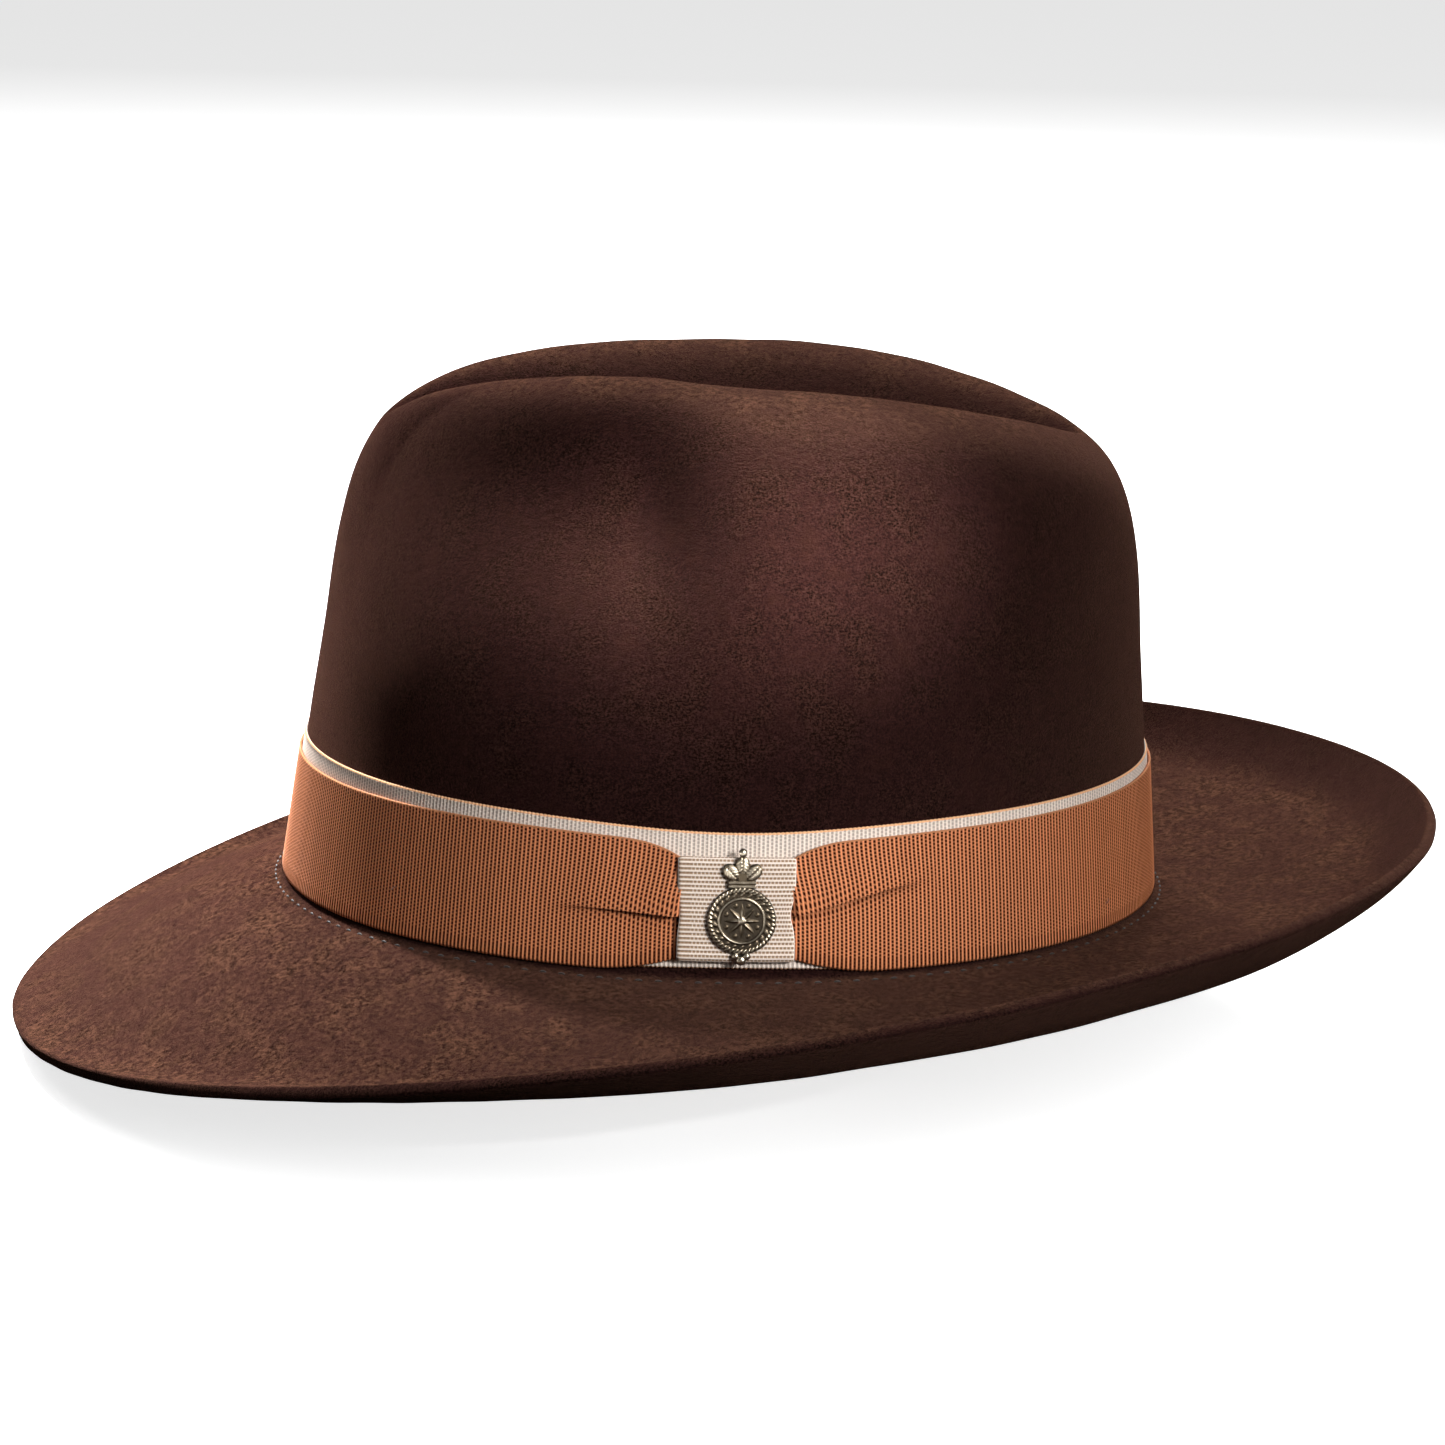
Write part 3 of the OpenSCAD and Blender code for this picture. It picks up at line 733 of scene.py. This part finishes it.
def knot_matrix():
    """From the knot's own plane (X along the band, Y up, Z outward) to the hat's frame."""
    skin = wall(np.array(KNOT_ANGLE), np.array(KNOT_MID), 0)
    place = Matrix.Translation(Vector((skin[0], skin[1], KNOT_MID)))
    turn = Matrix.Rotation(KNOT_YAW, 4, "Z") @ Matrix.Rotation(-KNOT_LEAN, 4, "Y")
    stand = Matrix.Rotation(math.pi / 2, 4, "Z") @ Matrix.Rotation(math.pi / 2, 4, "X")
    return np.array(place @ turn @ stand)


def on_knot(points):
    m = knot_matrix()
    return points @ m[:3, :3].T + m[:3, 3]


def bent(x, y, outward):
    """Knot points that follow the crown's curve: x along the band, y up, outward from the felt."""
    a = x / BEND_RADIUS
    r = BEND_RADIUS + outward
    return triple(r * np.sin(a), y, r * np.cos(a) - BEND_RADIUS)


def loop_outline(inset, count):
    """A flattened loop's upright section from the middle of its back: y, outward, length."""
    half_y = (KNOT_TOP - KNOT_BOTTOM) / 2 - inset
    back, front = KNOT_BACK + inset, KNOT_FRONT - inset
    radius = (front - back) / 2
    straight = 2 * (half_y - radius)
    bend = math.pi * radius
    total = 2 * (straight + bend)
    d = (np.arange(count) / count * total + 1.5 * straight + bend) % total
    second = d >= straight + bend
    along = d - second * (straight + bend)
    a = np.maximum(along - straight, 0) / radius
    side = np.where(second, -1, 1)
    y = side * (np.minimum(along, straight) - straight / 2 + radius * np.sin(a))
    o = (front + back) / 2 + side * radius * np.cos(a)
    return y, o, total


def make_knot():
    """The cream ribbon wrapped round the gathered band: ribs run along the band."""
    ribs = round(loop_outline(0, 8)[2] / RIB_PITCH)
    count = ribs * 6
    y, o, total = loop_outline(0, count)
    phase = np.arange(count) / 6
    rib = rib_height(phase)[:, None]
    x = np.linspace(-1, 1, 31)[None, :] * KNOT_WIDTH / 2
    front = smooth(KNOT_BACK + 1.5, KNOT_FRONT, o)[:, None]
    pinch = front * bell((y[:, None] + 0.8) / 3.5) * smooth(0.7, 1.0, x / x.max())
    soft = front * bell((y[:, None] + 1.0) / 4.0) * smooth(0.75, 1.0, -x / x.max())
    x_in = x - pinch + 0.5 * soft  # both edges are drawn in where the pleats meet them
    edge = np.minimum(x - x.min(), x.max() - x)
    swell = 0.2 * (rib - 0.6) * smooth(0, 0.5, edge) - 0.12 * (1 - smooth(0, 0.7, edge))
    away = unit(np.stack([np.gradient(o), -np.gradient(y)], -1))
    outer = bent(x_in, y[:, None] - away[:, :1] * swell, o[:, None] - away[:, 1:] * swell)
    y2, o2, _ = loop_outline(KNOT_WALL, count)
    inner = bent(x_in[:, ::-1], y2[:, None], o2[:, None])
    skin = np.concatenate([on_knot(outer), on_knot(inner)], axis=1)
    weave = triple(phase[:, None], x - x.min(), x.max() - x)
    weave = np.concatenate([weave, weave[:, ::-1]], axis=1)
    piece = Piece("cream_knot")
    piece.grid(skin, True, True, weave=weave)
    made = piece.finish(CREAM_PLAIN, ["ribbon_knot"])


TACKS = ((-45.8, 12.2), (59.5, 8.0))  # angle and height; each has a twin on the far side
TACK_SLANT, TACK_RISE, TACK_OUT, TACK_ARCH = 0.6 / 98, 0.45, 1.25, 0.45
THREAD_RADIUS = 0.2
TACK_BROWN, STITCH_BROWN = (0.20, 0.06, 0.025), (0.022, 0.015, 0.010)


def make_tacks():
    """Hand stitches that hold the ribbons down, each a short slanting thread."""
    piece = Piece("ribbon_tack_stitches")
    u = np.linspace(-1, 1, 9)
    for angle, height in TACKS + tuple((-180 - a if a < 0 else 180 - a, z) for a, z in TACKS):
        t = np.radians(angle) + u * TACK_SLANT
        tube(piece, wall(t, height + TACK_RISE * u, TACK_OUT + TACK_ARCH * (1 - u**2)), THREAD_RADIUS)
    piece.finish(thread_material("tack_thread", TACK_BROWN), ["ribbon_tacks"])


# ---------------- badge


def dome(distance, half):
    """A rounded bead's height, from 0 at distance half to 1 at distance 0."""
    return np.sqrt(np.clip(1 - (distance / half) ** 2, 0, 1))


ROPE_AT, ROPE_HALF, ROPE_TURNS = 7.1, 0.65, 46
INNER_AT, INNER_HALF = 5.15, 0.38
LEAF_AT, LEAF_SIZE, LEAF_COUNT = 6.1, 0.62, 22
STAR_POINTS, STAR_INSIDE, STAR_REACH = 8, 1.7, 2.3
BOSS_SIZE, STUD_AT, STUD_SIZE = 1.15, 3.75, 0.5
LOBES = ((-2.55, 3.3, 0.75), (2.55, 3.3, -0.75), (0, 4.9, 0))  # x, height, tilt
BEAD_AT, BEAD_SIZE = 7.75, 0.95
BALLS = ((-1.25, -0.35, 0.85), (1.25, -0.35, 0.85), (0, -1.35, 1.1))  # x, height, radius
BADGE_GRID = ((-8.2, 8.2), (-10.9, 16.9))
RELIEF_HEIGHT = 0.75


def badge_relief(x, y):
    """Height of the badge's face: 0 outside it. A rope ring with leaves, a star and a trefoil."""
    r, a = np.hypot(x, y), np.arctan2(y, x)
    plate = smooth(0, 0.25, BADGE_RADIUS - r) * 0.35
    strands = np.sin(a * ROPE_TURNS + (r - ROPE_AT) * 3.2)
    rope = dome(r - ROPE_AT, ROPE_HALF) * (0.78 + 0.22 * strands)
    inner = dome(r - INNER_AT, INNER_HALF)
    leaf_turn = (a * LEAF_COUNT / TURN) % 1 - 0.5
    off = r - LEAF_AT
    leaf = dome(np.hypot(leaf_turn * TURN * LEAF_AT / LEAF_COUNT + off * 0.5, off * 0.9), LEAF_SIZE)
    star_turn = (a * STAR_POINTS / TURN) % 1 - 0.5
    point = np.abs(star_turn) * 2
    reach = STAR_INSIDE + STAR_REACH * point**1.6
    star = np.clip((reach - r) / 2.2, 0, 1) ** 0.6 * (0.55 + 0.45 * point)
    boss = dome(r, BOSS_SIZE) * 1.15
    stud = dome(np.hypot(star_turn * TURN * 3.7 / STAR_POINTS, r - STUD_AT), STUD_SIZE) * 0.6
    ring = np.maximum.reduce([0.55 * rope, 0.5 * inner, 0.38 * leaf * (r > 5.3),
                              0.52 * star, 0.6 * boss, 0.5 * stud])
    face = np.where(r < BADGE_RADIUS, plate + ring, 0)
    return np.maximum(face, np.maximum(trefoil_relief(x, y), drop_relief(x, y)))


def trefoil_relief(x, y):
    """The leaf ornament over the ring: a collar, three veined lobes and a bead."""
    up = y - BADGE_RADIUS
    collar = np.where((np.abs(x) < 3.1) & (np.abs(up - 0.55) < 0.95),
                      0.5 + 0.28 * dome(up - 1.0, 0.42) + 0.28 * dome(up - 0.1, 0.42), 0)
    lobes = 0
    for cx, cy, tilt in LOBES:
        dx, dy = x - cx, up - cy
        u = dx * math.cos(tilt) + dy * math.sin(tilt)
        v = -dx * math.sin(tilt) + dy * math.cos(tilt)
        body = dome(np.hypot(u / 0.82, v / 1.08), 2.0)
        vein = 1 - 0.4 * bell(u / 0.22) - 0.18 * np.abs(np.sin(4 * v + 3 * np.abs(u)))
        lobes = np.maximum(lobes, np.where(body > 0, 0.35 + 0.75 * body * vein, 0))
    stalk = np.where((np.abs(x) < 0.9) & (np.abs(up - 2.7) < 1.4), 0.6, 0)
    away = np.hypot(x, up - BEAD_AT)
    bead = np.where(away < BEAD_SIZE, 0.4 + 0.8 * dome(away, BEAD_SIZE), 0)
    return np.maximum.reduce([collar, lobes, stalk, bead])


def drop_relief(x, y):
    """Three small balls under the ring."""
    down = y + BADGE_RADIUS
    total = 0
    for cx, cy, size in BALLS:
        away = np.hypot(x - cx, down - cy)
        total = np.maximum(total, np.where(away < size, 0.35 + 0.85 * dome(away, size), 0))
    return total


def make_badge(step=0.085):
    """The cast badge: a relief raised on a fine grid, with a flat back."""
    x, y = np.meshgrid(*(np.arange(*span, step) for span in BADGE_GRID), indexing="ij")
    relief = badge_relief(x, y)
    inside = relief > 0.02
    height = KNOT_FRONT + BADGE_GAP + BADGE_THICKNESS * 0.55 + RELIEF_HEIGHT * relief
    base = np.full_like(height, KNOT_FRONT + BADGE_GAP)
    used = inside[:-1, :-1] & inside[1:, :-1] & inside[:-1, 1:] & inside[1:, 1:]
    keep = np.zeros(x.shape, bool)
    for di in (0, 1):
        for dj in (0, 1):
            keep[di:di + used.shape[0], dj:dj + used.shape[1]] |= used
    number = np.cumsum(keep).reshape(x.shape) - 1
    lift = lambda z: on_knot(triple(x[keep] + BADGE_X, y[keep] + BADGE_Y, z[keep]))
    i, j = np.nonzero(used)
    quads = np.stack([number[i, j], number[i + 1, j], number[i + 1, j + 1], number[i, j + 1]], -1)
    total = int(keep.sum())
    sides = boundary_quads(quads, total)
    shade = np.clip(relief[keep], 0, 1.3)[:, None] * np.ones(3)
    piece = Piece("badge_casting")
    faces = np.concatenate([quads, quads[:, ::-1] + total, sides])
    piece.add(np.concatenate([lift(height), lift(base)]), faces,
              relief=np.concatenate([shade, 0 * shade]))
    piece.finish(BRASS, ["badge_plate"], body="badge")


def boundary_quads(quads, offset):
    """Quads that join the open edges of a sheet to the same edges offset points further on."""
    pairs = np.concatenate([quads[:, [k, (k + 1) % 4]] for k in range(4)])
    key = pairs.min(1).astype(np.int64) * (offset + 1) + pairs.max(1)
    _, where, uses = np.unique(key, return_index=True, return_counts=True)
    edge = pairs[where[uses == 1]]
    return np.stack([edge[:, 1], edge[:, 0], edge[:, 0] + offset, edge[:, 1] + offset], -1)


# ---------------- stitches and inside


STITCH_OFFSET, STITCH_PITCH, STITCH_HALF = 2.6, 4.2, 0.85  # outside the brim break
REED_HEIGHT, REED_RADIUS = -2.6, 1.0
GROOVES = ((3.0, 0.5, 0.22), (41.5, 0.4, 0.12))  # height, half width and depth in the sweatband


def make_brim_stitches():
    """The row of stitches on the brim just outside the band, through to the sweatband."""
    piece = Piece("sweatband_stitch_row")
    mean = (HALF_LENGTH + HALF_WIDTH) / 2 + STITCH_OFFSET
    count = int(TURN * mean / STITCH_PITCH)
    u = np.linspace(-1, 1, 7)
    for i in range(count):
        t = TURN * i / count + u * STITCH_HALF / mean
        line = brim(t, np.full(7, STITCH_OFFSET / BRIM_WIDTH[0]))
        line[:, 2] += 0.22 - 0.4 * u**2
        tube(piece, line, THREAD_RADIUS, sides=6)
    piece.finish(thread_material("stitch_thread", STITCH_BROWN), ["sweatband_stitches"])


def make_sweatband():
    """The leather band: rounded free edge, slight waves, and a sewn lower edge."""
    t = full_turn(360)
    z = np.concatenate([np.linspace(-1.5, 44.8, 34), [45.5, 45.9]])[:, None]
    wave = 0.18 * np.sin(9 * t + 0.6 * np.sin(3 * t)) * smooth(20, SWEATBAND_TOP, z)
    edge = 0.5 * smooth(SWEATBAND_TOP - 1.5, SWEATBAND_TOP, z) + 0.3 * smooth(1.5, -1.5, z)
    groove = sum(deep * bell((z - at) / half) for at, half, deep in GROOVES)
    inside = wall(t, z, -(SWEATBAND[1] - edge - groove) + wave * 0.5)
    outside = wall(t, z[::-1], -(SWEATBAND[0] + edge[::-1] * 0.3))
    piece = Piece("leather_sweatband")
    piece.grid(np.concatenate([inside, outside]), True, True)
    piece.finish(LEATHER, ["sweatband"])


def make_reed():
    """The round reed sewn into the sweatband's lower edge, wrapped in leather."""
    middle = -(SWEATBAND[0] + SWEATBAND[1]) / 2
    piece = Piece("sweatband_reed_roll")
    t = full_turn(720)
    line = wall(t, 0, middle) + [0, 0, REED_HEIGHT]
    tube(piece, line, REED_RADIUS, sides=12, closed=True)
    piece.finish(LEATHER, ["sweatband_reed"])


def make_seam():
    """The stitched seam that joins the sweatband's two ends at the back."""
    cols = 25
    t = np.radians(np.linspace(86, 94, cols))
    across = np.linspace(-1, 1, cols)
    z = np.linspace(0, SWEATBAND_TOP - 4, 60)[:, None]
    bulge = 0.25 * (1 - across**4) + 0.16 * np.abs(np.sin(np.pi * z / 3.2)) * (np.abs(across) < 0.25)
    front = wall(t, z, -(SWEATBAND[1] + 0.75) - bulge)
    back = wall(t, z[::-1], -(SWEATBAND[1] + 0.2))
    skin = np.concatenate([front, back])
    piece = Piece("sweatband_back_seam")
    piece.grid(skin, True, False)
    starts = np.arange(len(skin)) * cols
    piece.faces += [starts[::-1].tolist(), (starts + cols - 1).tolist()]
    piece.finish(LEATHER_DARK, ["sweatband_seam"])


def bow_loop(side, count=40):
    """One loop of the little bow in its own plane: a flattened ribbon loop that narrows."""
    u = np.linspace(0, 1, count)[:, None]
    across = np.linspace(-1, 1, 9)[None, :]
    reach = 7.6 * np.sin(np.pi * u) ** 0.8
    half = 0.9 + 1.9 * smooth(0, 0.75, np.sin(np.pi * u))
    x = side * (0.4 + reach)
    y = half * across * 1.05 + 0.3 * side * np.sin(np.pi * u)
    z = 0.5 + 0.42 * np.cos(np.pi * u) * np.sin(np.pi * np.clip(u, 0.02, 0.98)) ** 0.3
    return triple(x, y, z)


def thick_strip(piece, strip, ribs, closed=False, thickness=0.22):
    """Adds a ribbon strip (rows along it) with a real thickness, open ends filled."""
    along = np.roll(strip, -1, 0) - np.roll(strip, 1, 0) if closed else np.gradient(strip, axis=0)
    away = unit(np.cross(along, np.gradient(strip, axis=1)))
    skin = np.concatenate([strip + away * thickness / 2, (strip - away * thickness / 2)[:, ::-1]], 1)
    rows, cols = skin.shape[:2]
    weave = triple(ribs[:, None], np.full(cols, 2), 2)
    first = piece.grid(skin, wrap_rows=closed, weave=weave)
    if not closed:
        ends = first + np.arange(cols)
        piece.faces += [ends[::-1].tolist(), (ends + (rows - 1) * cols).tolist()]


def make_back_bow():
    """The tiny ribbon bow at the back of the sweatband."""
    spot = wall(np.array(math.pi / 2), np.array(8.0), -SWEATBAND[1] - 1.8)
    turn = np.array([[1, 0, 0], [0, 0, -1], [0, 1, 0]])
    place = lambda p: p @ turn.T + spot
    piece = Piece("sweatband_ribbon_bow")
    for side in (-1, 1):
        loop = place(bow_loop(side))
        thick_strip(piece, loop, np.linspace(0, 22, len(loop)))
    u = full_turn(48)
    ring = triple(0, 1.7 * np.sign(np.sin(u)) * np.abs(np.sin(u)) ** 0.6, 0.8 + 0.8 * np.cos(u))
    wrap = np.stack([ring + [dx, 0, 0] for dx in np.linspace(-1.4, 1.4, 9)], 1)
    thick_strip(piece, place(wrap), u / TURN * 10, closed=True)
    piece.finish(BOW_RIBBON, ["sweatband_bow"])


def make_lining_side():
    """The lining's side wall, with the soft upright tucks of satin held in a curve."""
    t = full_turn(720)
    p = np.interp(np.linspace(0, 1, 40), [0, 0.5, 1], [SIDE_START, 26, SIDE_END])[:, None]
    tuck = 0.09 * np.sin(46 * t + 1.3 * np.sin(5 * t)) * smooth(0, 0.3, (p - 8) / 39)
    face = crown(t, p, LINING[1] - tuck * 0.5)
    back = crown(t, p[::-1], LINING[0])
    piece = Piece("lining_side_wall")
    piece.grid(np.concatenate([face, back]), True, True)
    made = piece.finish(SATIN, ["lining_side"])
    middle = crown(t, 26.0, LINING[1])
    line = crown(0.0, p[:, 0], LINING[1])


def crown_cap(piece, start, depths, columns=240, rows=60):
    """Adds a thin closed cap under the crown's top from climb angle start, between two depths."""
    t = full_turn(columns)
    p = climb_rows(400)
    p = np.concatenate([[start], p[p > start + 0.3]])
    p = p[np.unique(np.linspace(0, len(p) - 2, rows).astype(int))][:, None]
    rings = np.concatenate([crown(t, p[::-1], depths[0]), crown(t, p, depths[1])])
    first = piece.grid(rings)
    last = first + (len(rings) - 1) * columns
    for ring, depth in zip((first, last), depths):
        piece.cap(ring, columns, crown_top(depth))


def make_lining_tip():
    piece = Piece("lining_tip_oval")
    crown_cap(piece, TIP_START, LINING)
    made = piece.finish(SATIN, ["lining_tip"])
    t = full_turn(720)
    rim = crown(t, TIP_START, LINING[1])


def twisted_ring(name, climb_angle, depth, radius, twists, node):
    """A cord of two plies that follows the crown's inside at one climb angle."""
    count = 1440
    t = full_turn(count)
    line = crown(t, np.full(count, climb_angle), depth)
    piece = Piece(name)
    out = triple(np.cos(t), np.sin(t), 0)
    for ply in (0, math.pi):
        a = (twists * t + ply)[:, None]
        wound = line + radius * 0.45 * (np.cos(a) * out + np.sin(a) * np.array([0, 0, 1.0]))
        tube(piece, wound, radius * 0.55, sides=6, closed=True)
    piece.finish(BRAID, [node])


def make_protector():
    piece = Piece("clear_tip_protector")
    crown_cap(piece, PROTECTOR_START, PROTECTOR, columns=180, rows=40)
    piece.finish(film_material(), ["tip_protector"])


# ---------------- stage


WORLD_STRENGTHS = (0.01, 1.0)  # as a light, as seen by the camera
FLOOR_HALF, FLOOR_HEIGHT = 6.0, -0.0393
CAMERA_AIM, CAMERA_DISTANCE, CAMERA_LENS = (0, 0.000197, 0.037711), 1.1695, 120.28
CAMERA_ANGLES = (-0.442, 14.093, 1.367)  # azimuth, elevation and roll in degrees
SOFTBOX_SIZE, SOFTBOX_AIM = 0.6, (0, 0, 0.03)
SOFTBOXES = (  # name, place, power
    ("back_softbox", (-0.87, 0.0, 1.0), 46),
    ("rim_softbox", (-0.59, -0.84, 0.83), 4.5),
    ("key_softbox", (0.95, 0.65, 0.6), 10.8),
    ("fill_softbox", (0.75, -0.9, 0.5), 0.7),
    ("high_softbox", (0.42, 0.50, 1.16), 3.4),
)
SPOTS = (  # name, place, aim, half angle in degrees, lamp radius, power
    ("brim_spot", (-0.6, -0.5, 1.0), (0, -0.15, -0.02), 9, 0.06, 345),
    ("crown_spot", (0.9, 1.0, 0.75), (0.076, 0.022, 0.102), 1.6, 0.02, 680),
    ("bow_spot", (1.1, 0.8, 0.6), (0.09, 0.004, 0.035), 2.0, 0.06, 145),
)


def hang_lamp(name, kind, place, aim, power):
    lamp = bpy.data.lights.new(name, kind)
    lamp.energy = power
    made = add_object(name, lamp)
    made.location = place
    made.rotation_mode = "QUATERNION"
    made.rotation_quaternion = (Vector(aim) - Vector(place)).to_track_quat("-Z", "Y")
    return lamp


def make_lights():
    """Softboxes behind and on the badge's side, and spots for the brighter patches."""
    for name, place, power in SOFTBOXES:
        hang_lamp(name, "AREA", place, SOFTBOX_AIM, power).size = SOFTBOX_SIZE
    for name, place, aim, half_angle, radius, power in SPOTS:
        lamp = hang_lamp(name, "SPOT", place, aim, power)
        lamp.spot_size, lamp.spot_blend = math.radians(half_angle * 2), 1.0
        lamp.shadow_soft_size = radius


def make_world():
    """White to the eye, and dimmer as a light."""
    world = bpy.data.worlds.new("studio")
    world.use_nodes = True
    tree = world.node_tree
    background = tree.nodes["Background"]
    seen = tree.nodes.new("ShaderNodeLightPath").outputs["Is Camera Ray"]
    strength = tree.nodes.new("ShaderNodeMapRange")
    tree.links.new(seen, strength.inputs[0])
    strength.inputs[3].default_value, strength.inputs[4].default_value = WORLD_STRENGTHS
    tree.links.new(strength.outputs[0], background.inputs["Strength"])
    background.inputs["Color"].default_value = (1, 1, 1, 1)
    bpy.context.scene.world = world


def make_floor():
    """A wide pale floor well below the brim."""
    m = Shader("floor_paint")
    speck = m.noise(30, 2)
    tone = m.mix(m.span(speck, 0.3, 0.7), (0.93, 0.93, 0.93), (0.95, 0.95, 0.95))
    m.set(Base_Color=tone, Roughness=0.9, Emission_Color=(1, 1, 1), Emission_Strength=0.75)
    mesh = bpy.data.meshes.new("studio_floor")
    corners = [(x * FLOOR_HALF, y * FLOOR_HALF, FLOOR_HEIGHT)
               for x, y in ((-1, -1), (1, -1), (1, 1), (-1, 1))]
    mesh.from_pydata(corners, [], [(0, 1, 2, 3)])
    mesh.materials.append(m.material)
    floor = add_object("studio_floor", mesh)
    floor.visible_diffuse = False


def make_camera():
    """The camera at the photographed viewing angle: the wearer's left, a little above."""
    azimuth, elevation, roll = (math.radians(angle) for angle in CAMERA_ANGLES)
    level = math.cos(elevation)
    away = Vector((level * math.cos(azimuth), level * math.sin(azimuth), math.sin(elevation)))
    right = (-away).cross(Vector((0, 0, 1))).normalized()
    up = right.cross(-away)
    turned = right * math.cos(roll) + up * math.sin(roll)
    upright = -right * math.sin(roll) + up * math.cos(roll)
    data = bpy.data.cameras.new("camera")
    data.lens, data.sensor_width = CAMERA_LENS, 36.0
    data.clip_start, data.clip_end = 0.05, 50
    camera = add_object("camera", data)
    turn = Matrix((turned, upright, away)).transposed().to_4x4()
    camera.matrix_world = Matrix.Translation(Vector(CAMERA_AIM) + away * CAMERA_DISTANCE) @ turn
    bpy.context.scene.camera = camera


# ---------------- the hat

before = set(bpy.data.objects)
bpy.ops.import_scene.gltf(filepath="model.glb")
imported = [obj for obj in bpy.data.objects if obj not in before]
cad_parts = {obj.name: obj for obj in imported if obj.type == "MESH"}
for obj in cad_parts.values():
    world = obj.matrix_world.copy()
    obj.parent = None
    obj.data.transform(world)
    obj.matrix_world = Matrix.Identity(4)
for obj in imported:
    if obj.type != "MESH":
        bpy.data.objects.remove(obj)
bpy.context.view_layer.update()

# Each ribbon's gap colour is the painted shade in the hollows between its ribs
COPPER_CREST, COPPER_GAP_SHADE = (0.77, 0.274, 0.119), (0.030, 0.006, 0.0022)
CREAM_CREST, CREAM_GAP_SHADE = (0.95, 0.82, 0.72), (0.30, 0.19, 0.115)
STRIP_GAP_SHADE = (0.44, 0.37, 0.32)
ORANGE_EDGE = (0.78, 0.42, 0.22)
COPPER_EDGE_TONE, BOW_BROWN = (0.40, 0.17, 0.08), (0.13, 0.06, 0.035)
COPPER = ribbon_material("ribbon_copper", COPPER_CREST, COPPER_GAP_SHADE, COPPER_EDGE_TONE, 0.45, 0.12)
CREAM_EDGED = ribbon_material("ribbon_cream_edged", CREAM_CREST, STRIP_GAP_SHADE, ORANGE_EDGE, 0.35, 0.01)
CREAM_PLAIN = ribbon_material("ribbon_cream", CREAM_CREST, CREAM_GAP_SHADE, CREAM_CREST, 0.2, 0.2)
BOW_RIBBON = ribbon_material("ribbon_brown", BOW_BROWN, (0.02, 0.01, 0.006), BOW_BROWN, 0.2, 0.2)
BRASS = brass_material()
LEATHER = leather_material("leather", (0.24, 0.11, 0.05))
LEATHER_DARK = leather_material("leather_seam", (0.17, 0.075, 0.035))
SATIN = satin_material("satin", (0.60, 0.45, 0.30))
BRAID = thread_material("braid_cord", (0.42, 0.28, 0.16), 0.6)

make_felt()
make_base_ribbon()
make_copper_ribbon()
make_knot()
make_tacks()
make_badge()
make_brim_stitches()
make_sweatband()
make_reed()
make_seam()
make_back_bow()
make_lining_side()
make_lining_tip()
make_protector()
twisted_ring("lining_braid_cord", SIDE_END, LINING[1] + 0.85, 0.7, 260, "lining_braid")
twisted_ring("protector_piping_cord", PROTECTOR_START, PROTECTOR[1] + 0.75, 0.6, 180,
             "protector_piping")
for name in ("badge_posts", "badge_keepers"):
    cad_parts[name].data.materials.clear()
    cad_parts[name].data.materials.append(BRASS)

make_lights()
make_world()
make_floor()
make_camera()
bpy.context.scene.view_settings.view_transform = "Standard"
